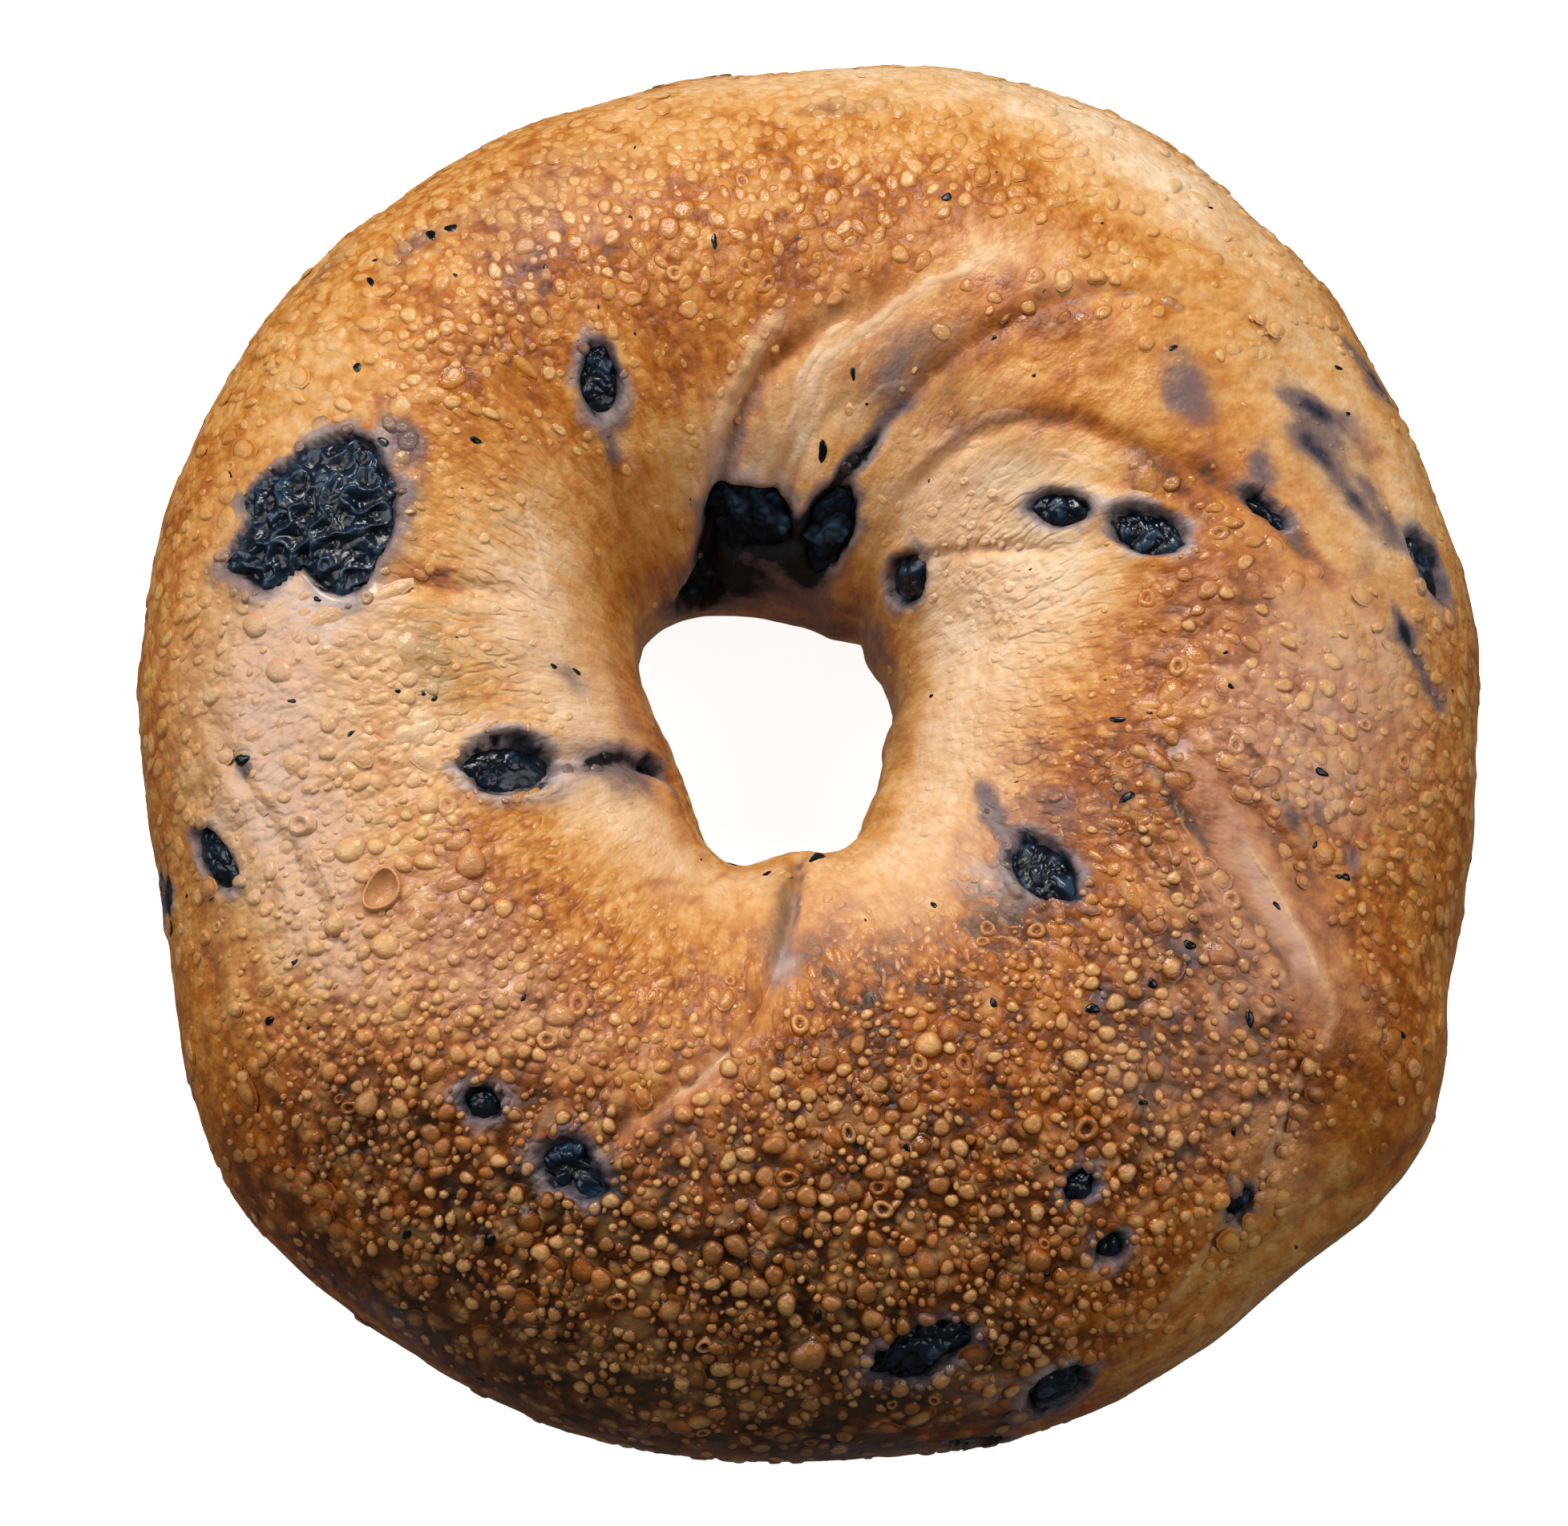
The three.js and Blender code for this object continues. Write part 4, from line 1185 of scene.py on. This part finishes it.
# %% Where the ridges run
RIDGES = [
    # width and height in mm, course
    (2.6, 0.30, [[84, 100], [88, 106], [91, 112], [94, 118], [97, 124], [100, 133], [103, 144]]),
    (1.7, 0.16, [[82, 140], [81, 128], [80, 118], [78, 111], [73, 105], [69, 98], [64, 90], [58, 82]]),
    (1.2, 0.12, [[79, 136], [78, 126], [77, 117], [74, 110], [70, 103], [66, 97]]),
    (1.4, 0.14, [[84, 132], [83, 124], [82, 116], [79, 108], [74, 100]]),
    (1.1, 0.12, [[73, 119], [72, 112], [69, 107], [65, 102]]),
    (1.2, 0.14, [[72, 126], [68, 117], [62, 112], [58, 109]]),
    (1.1, 0.12, [[60, 128], [57, 120], [53, 112], [48, 105]]),
    (1.6, 0.18, [[55, 132], [54, 124], [51, 117], [46, 109], [40, 102]]),
    (1.2, 0.14, [[41, 112], [35, 104], [30, 99], [25, 95]]),
    (1.3, 0.14, [[339, 80], [336, 74], [334, 70], [332, 66], [330, 61], [328, 56]]),
    (1.3, 0.16, [[325, 54], [322, 52], [319, 48], [315, 43], [310, 36]]),
    (0.6, 0.18, [[341, 93], [336, 89], [332, 83], [329, 77], [327, 70]]),
    (0.5, 0.16, [[338, 93], [333, 88], [329, 83], [326, 77]]),
    (0.5, 0.16, [[336, 95], [331, 90], [327, 85]]),
    (1.6, 0.12, [[272, 104], [269, 101], [266, 97], [263, 93], [260, 88], [257, 83]]),
    (1.4, 0.16, [[255, 80], [252, 73], [250, 66], [248, 58]]),
    (1.3, 0.18, [[200, 66], [208, 70], [216, 73], [222, 75]]),
    (1.3, 0.18, [[141, 116], [152, 126], [166, 131], [176, 135]]),
    (0.8, 0.16, [[22, 128], [24, 121], [29, 114], [36, 110]]),
]
print("ridges:", len(RIDGES))


# %% Shape one ridge
def ridge_strip(width, height, course):
    """One strip of grid along its course, with the crust's fields and paler along its top."""
    places = smooth_places(course)
    line = ring_points(*places.T)
    run = np.concatenate([[0], np.cumsum(np.linalg.norm(np.diff(line, axis=0), axis=1))])
    bpy.ops.object.select_all(action="DESELECT")
    bpy.ops.mesh.primitive_grid_add(x_subdivisions=int(run[-1] / 0.35), y_subdivisions=8, size=1)
    strip = bpy.context.object
    grid = positions(strip.data)
    at = (grid[:, 0] + 0.5) * run[-1]
    across = 2 * grid[:, 1]
    around, over = np.interp(at, run, places[:, 0]), np.interp(at, run, places[:, 1])
    way, inward, out = ring_directions(around, over)
    step = np.minimum(at + 0.2, run[-1])
    ahead = [np.interp(step, run, column) - np.interp(step - 0.4, run, column) for column in line.T]
    ahead = np.stack(ahead, -1)
    ends = ease(np.minimum(at, run[-1] - at), 0, 3.5)
    wander = 0.35 * cloud(ring_points(around, over), 2.5, 61)
    side = unit(np.cross(out, ahead)) * (across * width / 2 * (0.4 + 0.6 * ends) + wander)[:, None]
    degree_around = np.linalg.norm(ring_points(around + 0.5, over) - ring_points(around - 0.5, over), axis=1)
    degree_over = np.linalg.norm(ring_points(around, over + 0.5) - ring_points(around, over - 0.5), axis=1)
    around = around + (side * way).sum(1) / degree_around
    over = over + (side * inward).sum(1) / degree_over
    foot, out, marks = crust_relief(around, over)
    uneven = 0.85 + 0.6 * cloud(foot, 1.2, 62) + 0.3 * cloud(foot, 4, 63)
    arch = np.cos(across * math.pi / 2) * ends * uneven
    move_to(strip.data, foot + (1.2 * height * arch - 0.1)[:, None] * out)
    made = crust_fields(around, over, foot)
    made["browning_and_shade"] += 0.16 * (1 - arch)
    made["cream"] += 0.5 * arch
    give_fields(strip.data, made, marks)
    return strip


# %% Lay the ridges and join them
ridge_strips = [ridge_strip(*row) for row in RIDGES]
bpy.ops.object.select_all(action="DESELECT")
for strip in ridge_strips:
    strip.select_set(True)
bpy.context.view_layer.objects.active = ridge_strips[0]
bpy.ops.object.join()
ridges = bpy.context.object
ridges.name = ridges.data.name = "stretch_ridges"
ridges.data.shade_smooth()
print("all ridges:", len(ridges.data.polygons), "faces")

# %% [markdown]
# ## Berries
#
# A baked blueberry has lost its juice: the skin is tight over the rim and wrinkled in the middle. Each is
# modelled from an ico sphere, whose faces are alike all round, so that wrinkles in any direction come out
# the same. The sphere is pressed to the opening's ragged outline and its skin is moved along noise with
# sharp ridges.

# %% Shape one berry
TUCKED = 1.06  # a berry is this much wider than its opening, so that its edge is tucked under the crust
LARGE = 5  # mm, half the length of a large berry
MIDDLING = 2.6


def wrinkled(points, size, seed):
    """Rounded lumps with a sharp fold wherever soft noise changes sign, from 0 in a fold to about 1.2."""
    return np.minimum(np.abs(cloud(points, size, seed)) * 2.2, 1.3) ** 0.7


def berry_piece(berry):
    """A berry's skin in its socket. Larger berries are cut finer, and the skin of a large one is drawn
    into a net of ridges."""
    size = berry["shown"].max()
    detail = 7 if size > LARGE else 6 if size > MIDDLING else 5
    bpy.ops.mesh.primitive_ico_sphere_add(subdivisions=detail, radius=1)
    piece = bpy.context.object
    piece.name = piece.data.name = berry["name"] + "_skin"
    ball = positions(piece.data)
    reach = torn_outline(berry, np.arctan2(ball[:, 1], ball[:, 0])) * TUCKED
    plump = np.sign(ball[:, 2]) * np.abs(ball[:, 2]) ** 0.8
    thick = min(berry["half"][2], 0.75 * berry["shown"].min() + 0.5)
    x = ball[:, 0] * reach * berry["shown"][0]
    y = ball[:, 1] * reach * berry["shown"][1]
    top = -berry["sunk"] + 0.1
    z = top - thick + plump * thick
    skin = np.stack([x, y, z], -1)
    folds = wrinkled(skin, 2.0, berry["seed"]) + 0.45 * wrinkled(skin, 0.85, berry["seed"] + 9)
    if size > LARGE:
        folds = 1.4 - wrinkled(skin, 1.7, berry["seed"]) + 0.3 * wrinkled(skin, 0.8, berry["seed"] + 9)
    depth = berry["wrinkle"] * (folds / 1.45 - 0.7) * 1.5 * ease(ball[:, 2], -0.1, 0.4)
    skin = skin + ball * depth[:, None]
    points = berry["centre"] + (skin + [0, 0, berry["level"]]) @ berry["axes"]
    move_to(piece.data, points)
    # the ridges, which the berry's material lights with a painted highlight
    give(piece.data, "ridge", np.clip(folds / 1.5, 0, 1))
    piece.data.shade_smooth()
    return piece


berry_pieces = {berry["name"]: berry_piece(berry) for berry in berries}
print("berry faces:", sum(len(piece.data.polygons) for piece in berry_pieces.values()))

# %% [markdown]
# ## Specks
#
# Little dark bits of berry skin are scattered over the crust. They are flat, dark and crooked, so a small
# cap pressed into the crust is enough for each.

# %% Scatter the specks
def speck_sizes(rng, around, over):
    return rng.uniform(0.12, 0.3, len(around))


few_specks = thrown(5, 420, speck_sizes, lambda a, o: np.full(len(a), 0.55), {}, 1.5)
speck_places = np.concatenate([np.array(SPECKS, float) * [1, 1, 0.8], few_specks])
specks = joined_blisters(
    "berry_specks", "chip", speck_places, np.random.default_rng(6), (0.4, 0.7), (1.2, 2.4), dented=2.0
)

# %% [markdown]
# ## Baked colours
#
# The colour of a crust is one scale, from cream dough through gold and chestnut to nearly black. Over it
# lie the other fields: a painted rosy sheen, which stands for the lights' pink reflection on glossy skin,
# olive dough, juice that goes from mauve through slate to blue black as it gets stronger, the darkest also
# standing for painted shade below the berries at the back of the hole, and pale torn skin. Crust and
# blisters share all that, so it is a node group: it takes the fields and gives a colour. What differs, the
# shine and the bumps, stays in each material.

# %% Helpers for shader nodes
def srgb(code):
    """A colour from its hex code, as the linear values that shaders use."""
    parts = [int(code[i : i + 2], 16) / 255 for i in (0, 2, 4)]
    return (*[p / 12.92 if p <= 0.04045 else ((p + 0.055) / 1.055) ** 2.4 for p in parts], 1)


class Nodes:
    """Adds nodes to a tree and links them, a line for each."""

    def __init__(self, tree):
        self.tree = tree

    def put(self, socket, value):
        if isinstance(value, bpy.types.NodeSocket):
            self.tree.links.new(value, socket)
        else:
            socket.default_value = value

    def add(self, kind, inputs=(), **settings):
        node = self.tree.nodes.new(kind)
        for name, value in settings.items():
            setattr(node, name, value)
        for key, value in dict(inputs).items():
            self.put(node.inputs[key], value)
        return node

    def math(self, operation, a, b=0.0):
        return self.add("ShaderNodeMath", {0: a, 1: b}, operation=operation).outputs[0]

    def span(self, value, low, high, to_low=0.0, to_high=1.0):
        """A smooth step from to_low, where value is low or less, to to_high, where it is high or more."""
        inputs = {"Value": value, "From Min": low, "From Max": high, "To Min": to_low, "To Max": to_high}
        return self.add("ShaderNodeMapRange", inputs, interpolation_type="SMOOTHSTEP").outputs[0]

    def mix(self, share, a, b):
        """The colour a, turned into b by a share from 0 to 1."""
        node = self.tree.nodes.new("ShaderNodeMix")
        node.data_type = "RGBA"
        for index, value in ((0, share), (6, a), (7, b)):
            self.put(node.inputs[index], value)
        return node.outputs[2]

    def ramp(self, value, stops):
        node = self.add("ShaderNodeValToRGB", {"Fac": value})
        steps = node.color_ramp.elements
        while len(steps) < len(stops):
            steps.new(0.5)
        for step, (at, colour) in zip(steps, stops):
            step.position = at
            step.color = srgb(colour)
        return node.outputs["Color"]

    def noise(self, vector, scale, detail=2.0, roughness=0.5):
        inputs = {"Vector": vector, "Scale": scale, "Detail": detail, "Roughness": roughness}
        return self.add("ShaderNodeTexNoise", inputs).outputs["Fac"]

    def field(self, name, vector=False):
        node = self.add("ShaderNodeAttribute", attribute_name=name)
        return node.outputs["Vector" if vector else "Fac"]


# %% Build the baked colour group
BAKED_STOPS = [
    (0.0, "F0D5B0"), (0.2, "E3B681"), (0.38, "D3964B"), (0.55, "BA6E1F"),
    (0.7, "984E0C"), (0.85, "6A3508"), (1.0, "351B07"),
]
STAIN_DARK = srgb("050B15")
STAIN_DEEP = srgb("2E2D3C")
STAIN_SOFT = srgb("6B5A5E")
OLIVE = srgb("7C6A45")
ROSY_SHEEN = srgb("C4967C")
CREAM = srgb("F0CFB2")
TORN = srgb("CDB9B0")
GOLDEN = srgb("DDA968")
PALE_GOLD_AND_HIGHLIGHT = srgb("EDC48C")


def baked_group():
    """The node group that turns fields into the colour of baked dough."""
    group = bpy.data.node_groups.new("baked_colour", "ShaderNodeTree")
    for name in ("Browning_and_shade", "Stain", "Olive", "Rosy_sheen", "Cream", "Torn"):
        group.interface.new_socket(name, in_out="INPUT", socket_type="NodeSocketFloat")
    group.interface.new_socket("Vector", in_out="INPUT", socket_type="NodeSocketVector")
    group.interface.new_socket("Colour", in_out="OUTPUT", socket_type="NodeSocketColor")
    make = Nodes(group)
    given = group.nodes.new("NodeGroupInput").outputs
    mottle = make.noise(given["Vector"], 420, 3.0, 0.6)
    patch = make.noise(given["Vector"], 130, 2.0, 0.5)
    browning_and_shade = make.math("ADD", given["Browning_and_shade"], make.span(mottle, 0.3, 0.7, -0.07, 0.07))
    browning_and_shade = make.math("ADD", browning_and_shade, make.span(patch, 0.3, 0.7, -0.05, 0.05))
    browning_and_shade = make.math("SUBTRACT", browning_and_shade, make.math("MULTIPLY", given["Cream"], 0.22))
    colour = make.ramp(browning_and_shade, BAKED_STOPS)
    colour = make.mix(make.math("MULTIPLY", given["Cream"], 0.35), colour, CREAM)
    # painted sheen: a rosy tint where the glossy skin reflects the lights, fading on dark crust
    rosy_sheen = make.math("MULTIPLY", given["Rosy_sheen"], make.span(browning_and_shade, 0.55, 0.85, 0.65, 0.1))
    colour = make.mix(rosy_sheen, colour, ROSY_SHEEN)
    colour = make.mix(make.math("MULTIPLY", given["Olive"], 0.6), colour, OLIVE)
    broken = make.math("MULTIPLY", given["Stain"], make.span(mottle, 0.2, 0.7, 0.6, 1.2))
    colour = make.mix(make.span(broken, 0.05, 0.45, 0.0, 0.85), colour, STAIN_SOFT)
    colour = make.mix(make.span(broken, 0.4, 0.85, 0.0, 0.9), colour, STAIN_DEEP)
    colour = make.mix(make.span(broken, 0.8, 1.05), colour, STAIN_DARK)
    torn = make.math("MULTIPLY", given["Torn"], make.span(broken, 0.7, 1.1, 0.7, 0.0))
    colour = make.mix(torn, colour, TORN)
    result = group.nodes.new("NodeGroupOutput")
    group.links.new(colour, result.inputs["Colour"])
    return group


baked_colour = baked_group()
print("nodes in the baked colour:", len(baked_colour.nodes))

# %% [markdown]
# ## The crust's material
#
# Besides its colour, the crust has a tight, slightly glossy skin, darkened with painted shade along its
# creases and in the gaps between humps, and golden on top of them. Where the skin was stretched thin it
# shines like glaze, so it has a thin coat there as well as its painted rosy sheen.
#
# What is too fine for the mesh is a bump: small domes where blisters crowd, folds where the skin wrinkled,
# and noises for skin, pores and streaks. The wrinkles and streaks are laid on the unpulled places, so that
# they run the way the dough was pulled.

# %% Helpers for the materials
def new_material(name):
    """An empty material with its shader, and the helper that adds nodes to it."""
    material = bpy.data.materials.new(name)
    material.use_nodes = True
    material.node_tree.nodes.clear()
    make = Nodes(material.node_tree)
    shader = make.add("ShaderNodeBsdfPrincipled")
    result = make.add("ShaderNodeOutputMaterial")
    material.node_tree.links.new(shader.outputs[0], result.inputs["Surface"])
    return material, make, shader


def baked(make, vector, browning_and_shade, torn_skin=0.0):
    """The baked colour, from the fields stored on a piece."""
    node = make.add("ShaderNodeGroup", node_tree=baked_colour)
    make.put(node.inputs["Vector"], vector)
    make.put(node.inputs["Browning_and_shade"], browning_and_shade)
    make.put(node.inputs["Torn"], torn_skin)
    for name in ("Stain", "Olive", "Rosy_sheen", "Cream"):
        make.put(node.inputs[name], make.field(name.lower()))
    return node.outputs["Colour"]


def cells(make, vector, size):
    """Distance from the nearest of many seeds, one for each patch of the given size, in sizes."""
    inputs = {"Vector": vector, "Scale": 1 / size, "Randomness": 1.0}
    return make.add("ShaderNodeTexVoronoi", inputs).outputs["Distance"]


# %% Make the crust's material
def crust_material():
    material, make, shader = new_material("baked_crust")
    place = make.add("ShaderNodeTexCoord").outputs["Object"]
    scaled = make.add("ShaderNodeVectorMath", {0: place, "Scale": 1000.0}, operation="SCALE").outputs[0]
    flow_way = make.field("flow", vector=True)
    wander = make.add("ShaderNodeTexNoise", {"Vector": scaled, "Scale": 0.6, "Detail": 0.0})
    shaken = {0: wander.outputs["Color"], 1: (0.8, 0.8, 0.8), 2: scaled}
    mm = make.add("ShaderNodeVectorMath", shaken, operation="MULTIPLY_ADD").outputs[0]
    crowd = make.field("crowd")
    veins = make.field("veins")
    hump = make.field("hump")

    large = cells(make, mm, 1.1)
    wave = make.math("ABSOLUTE", make.math("SUBTRACT", make.noise(flow_way, 0.75, 1.0), 0.5))
    streak = make.noise(flow_way, 0.9, 2.0, 0.6)
    pores = make.noise(place, 1700, 2.0, 0.6)
    skin = make.noise(place, 520, 1.0, 0.5)

    # painted shade: darker between the small domes, between the humps and in the creases; the veins are real
    # brown lines
    gap = make.math("MULTIPLY", make.span(large, 0.40, 0.75), crowd)
    hump_gap_shade = make.math("MULTIPLY", make.span(hump, 0.0, 0.5, 1.0, 0.0), crowd)
    line = make.math("MULTIPLY", make.span(wave, 0.0, 0.035, 1.0, 0.0), veins)
    line = make.math("MULTIPLY", line, make.span(streak, 0.35, 0.6))
    browning_and_shade = make.math("ADD", make.field("browning_and_shade"), make.span(streak, 0.3, 0.7, -0.07, 0.07))
    browning_and_shade = make.math("ADD", browning_and_shade, make.span(pores, 0.3, 0.7, -0.03, 0.03))
    shade_and_veins = (make.field("crease"), 0.14), (gap, 0.10), (hump_gap_shade, 0.12), (line, 0.14)
    for part, amount in shade_and_veins:
        browning_and_shade = make.math("ADD", browning_and_shade, make.math("MULTIPLY", part, amount))
    browning_and_shade = make.math("MINIMUM", browning_and_shade, 0.94)
    colour = baked(make, place, browning_and_shade, make.field("torn"))
    golden = make.math("MULTIPLY", make.span(hump, 0.3, 0.9), make.span(large, 0.2, 0.6, 0.55, 0.2))
    golden = make.math("MULTIPLY", golden, make.span(make.field("stain"), 0.0, 0.3, 1.0, 0.0))
    make.put(shader.inputs["Base Color"], make.mix(golden, colour, GOLDEN))
    rough = make.span(skin, 0.3, 0.7, 0.34, 0.50)
    rough = make.math("ADD", rough, make.span(make.field("stain"), 0.4, 1.0, 0.0, 0.3))
    make.put(shader.inputs["Roughness"], rough)
    shader.inputs["Specular IOR Level"].default_value = 0.3
    make.put(shader.inputs["Coat Weight"], make.span(make.field("rosy_sheen"), 0.0, 0.8, 0.0, 0.6))
    shader.inputs["Coat Roughness"].default_value = 0.2

    domes = make.math("MULTIPLY", make.span(large, 0.1, 0.75, 0.26, 0.0), crowd)
    folds = make.math("MULTIPLY", make.span(wave, 0.0, 0.12, 0.0, 0.11), veins)
    height = make.math("ADD", domes, folds)
    for part, amount in ((skin, 0.16), (pores, 0.12), (streak, 0.22)):
        height = make.math("ADD", height, make.math("MULTIPLY", part, amount))
    bump = make.add("ShaderNodeBump", {"Strength": 0.8, "Distance": MM, "Height": height})
    make.put(shader.inputs["Normal"], bump.outputs["Normal"])
    return material


# %% [markdown]
# ## Blisters and berries
#
# A blister is the same skin blown thin. It is darkest in a line round its foot, partly browner skin and
# partly painted shade where it meets the crust. It turns golden toward its top, partly its thin skin's own
# colour and partly a painted highlight, and is glossier than the crust, each one a little differently. A
# berry is nearly black, with a painted highlight as a lighter, bluer tint on the ridges of its skin,
# painted shade in its folds and a faint bloom. The three at the back of the hole were crushed, and are
# duller.

# %% Make the materials of blisters and berries
def blister_material():
    material, make, shader = new_material("blistered_skin")
    place = make.add("ShaderNodeTexCoord").outputs["Object"]
    rise = make.field("rise")
    pores = make.noise(place, 2200, 2.0, 0.6)
    # a darker line round the foot: partly browner skin, partly painted shade where the blister meets the
    # crust
    foot = make.math("MULTIPLY", make.span(rise, -0.1, 0.15), make.span(rise, 0.15, 0.45, 0.16, 0.0))
    browning_and_shade = make.math("ADD", make.math("MINIMUM", make.field("browning_and_shade"), 0.76), foot)
    # golden toward the top: partly the thin skin's own colour, partly a painted highlight
    golden = make.math("MULTIPLY", make.span(rise, 0.3, 1.0), make.field("golden"))
    golden = make.math("MULTIPLY", golden, make.span(pores, 0.3, 0.7, 0.7, 1.0))
    golden = make.math("MULTIPLY", golden, make.span(make.field("stain"), 0.2, 0.6, 0.8, 0.2))
    golden = make.math("MULTIPLY", golden, make.span(make.field("cream"), 0.5, 1.0, 1.0, 0.4))
    colour = make.mix(golden, baked(make, place, browning_and_shade), GOLDEN)
    colour = make.mix(make.span(golden, 0.5, 1.0, 0.0, 0.6), colour, PALE_GOLD_AND_HIGHLIGHT)
    make.put(shader.inputs["Base Color"], colour)
    rough = make.span(make.field("shine"), 0.0, 1.0, 0.2, 0.36)
    make.put(shader.inputs["Roughness"], rough)
    shader.inputs["Specular IOR Level"].default_value = 0.4
    bump = make.add("ShaderNodeBump", {"Strength": 0.5, "Distance": 0.0002, "Height": pores})
    make.put(shader.inputs["Normal"], bump.outputs["Normal"])
    return material


def berry_material(name, matt=0.0):
    material, make, shader = new_material(name)
    place = make.add("ShaderNodeTexCoord").outputs["Object"]
    bloom = make.noise(place, 700, 3.0, 0.65)
    ridge = make.field("ridge")
    # painted highlight on the ridges and painted shade in the folds, over the skin's own dark navy
    colour = make.ramp(ridge, [(0.0, "01040A"), (0.45, "040F1A"), (0.8, "0C1D2E"), (1.0, "283D52")])
    colour = make.mix(make.span(bloom, 0.5, 0.75, 0.0, 0.11), colour, srgb("34485E"))
    make.put(shader.inputs["Base Color"], colour)
    make.put(shader.inputs["Roughness"], make.span(bloom, 0.3, 0.7, 0.14 + matt, 0.38 + matt))
    shader.inputs["Specular IOR Level"].default_value = 0.4 - matt
    bump = make.add("ShaderNodeBump", {"Strength": 0.4, "Distance": 0.0003, "Height": bloom})
    make.put(shader.inputs["Normal"], bump.outputs["Normal"])
    return material


# %% Give each piece its material
CRUSHED = ("berry_hole_back", "berry_hole_back_right", "berry_hole_low")

skin_of_crust = crust_material()
crust.data.materials.append(skin_of_crust)
ridges.data.materials.append(skin_of_crust)
skin_of_blisters = blister_material()
for piece in blisters:
    piece.data.materials.append(skin_of_blisters)
skin_of_berries = berry_material("berry_skin")
skin_of_crushed = berry_material("crushed_berry_skin", 0.3)
for name, piece in berry_pieces.items():
    piece.data.materials.append(skin_of_crushed if name in CRUSHED else skin_of_berries)
specks.data.materials.append(skin_of_berries)
print("materials:", len(bpy.data.materials))

# %% [markdown]
# ## What each piece stands for
#
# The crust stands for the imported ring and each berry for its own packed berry. Ridges, blisters and
# specks are extra, and everything rides on the one body.

# %% Tie the pieces to the frame
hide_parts("bagel")
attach(crust, "root")
for name, piece in berry_pieces.items():
    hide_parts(name)
    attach(piece, "root")
for piece in [ridges, *blisters]:
    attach(piece, "root")
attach(specks, "root")
print("pieces:", 3 + len(berry_pieces) + len(blisters))

# %% [markdown]
# ## Floor, light and camera
#
# A pale floor and soft light let the crust speak. The main light stands behind the bagel, so that each
# blister has a bright side and the front falls into shade, and two wider ones fill from the left and the
# right. The camera looks steeply down, as one looks at food on a table.

# %% Lay the floor
bpy.ops.mesh.primitive_plane_add(size=6, location=(0, 0, 0))
floor = bpy.context.object
floor.name = "floor"
floor_material, make, shader = new_material("pale_floor")
shader.inputs["Base Color"].default_value = (0.92, 0.92, 0.92, 1)
shader.inputs["Roughness"].default_value = 0.8
shader.inputs["Emission Color"].default_value = (1, 1, 1, 1)
shader.inputs["Emission Strength"].default_value = 0.9
floor.data.materials.append(floor_material)
floor.visible_diffuse = False  # it glows, but throws no light up at the crust
floor.visible_glossy = False
print("floor:", floor.name)

# %% Set the lights
AIM = Vector((-1.96, -1.76, 17.0)) * MM  # the place that lights and camera look at


def soft_light(name, azimuth, elevation, distance, size, power, colour):
    """An area light that looks at the bagel. Azimuth 0 is the camera's side and 90 the right."""
    a, e = math.radians(azimuth), math.radians(elevation)
    away = Vector((math.sin(a) * math.cos(e), -math.cos(a) * math.cos(e), math.sin(e)))
    data = bpy.data.lights.new(name, "AREA")
    data.shape, data.size, data.energy, data.color = "DISK", size, power, colour
    light = bpy.data.objects.new(name, data)
    light.location = AIM + away * distance
    light.rotation_mode = "QUATERNION"
    light.rotation_quaternion = (-away).to_track_quat("-Z", "Y")
    bpy.context.scene.collection.objects.link(light)


soft_light("key_light", 186, 46, 0.8, 0.34, 5.0, (1.0, 0.97, 0.93))
soft_light("left_light", 254, 40, 0.8, 0.60, 3.0, (0.97, 0.98, 1.0))
soft_light("right_light", 92, 44, 0.8, 0.60, 2.3, (0.97, 0.98, 1.0))
world = bpy.data.worlds.new("pale_room")
bpy.context.scene.world = world
world.use_nodes = True
world.node_tree.nodes["Background"].inputs["Color"].default_value = (1.0, 0.97, 0.94, 1)
world.node_tree.nodes["Background"].inputs["Strength"].default_value = 0.10
bpy.context.scene.view_settings.view_transform = "Standard"
print("lights:", len(bpy.data.lights))

# %% Place the camera
CAMERA_ELEVATION = 72.0  # degrees above the table
CAMERA_DISTANCE = 420.0  # mm
IMAGE_WIDTH = 1956  # pixels
PIXELS_PER_MM = 15.24  # at the distance of AIM
SENSOR = 36.0  # mm, the width of a full-frame sensor

lift = math.radians(CAMERA_ELEVATION)
back = Vector((0, -math.cos(lift), math.sin(lift)))
camera_data = bpy.data.cameras.new("camera")
camera_data.sensor_width = SENSOR
camera_data.lens = SENSOR * PIXELS_PER_MM * CAMERA_DISTANCE / IMAGE_WIDTH
camera_data.clip_start = 0.01
camera = bpy.data.objects.new("camera", camera_data)
camera.location = AIM + back * CAMERA_DISTANCE * MM
camera.rotation_mode = "QUATERNION"
camera.rotation_quaternion = (-back).to_track_quat("-Z", "Y")
bpy.context.scene.collection.objects.link(camera)
bpy.context.scene.camera = camera
print("lens:", round(camera_data.lens, 1), "mm")

# %% Finish
bpy.context.view_layer.update()
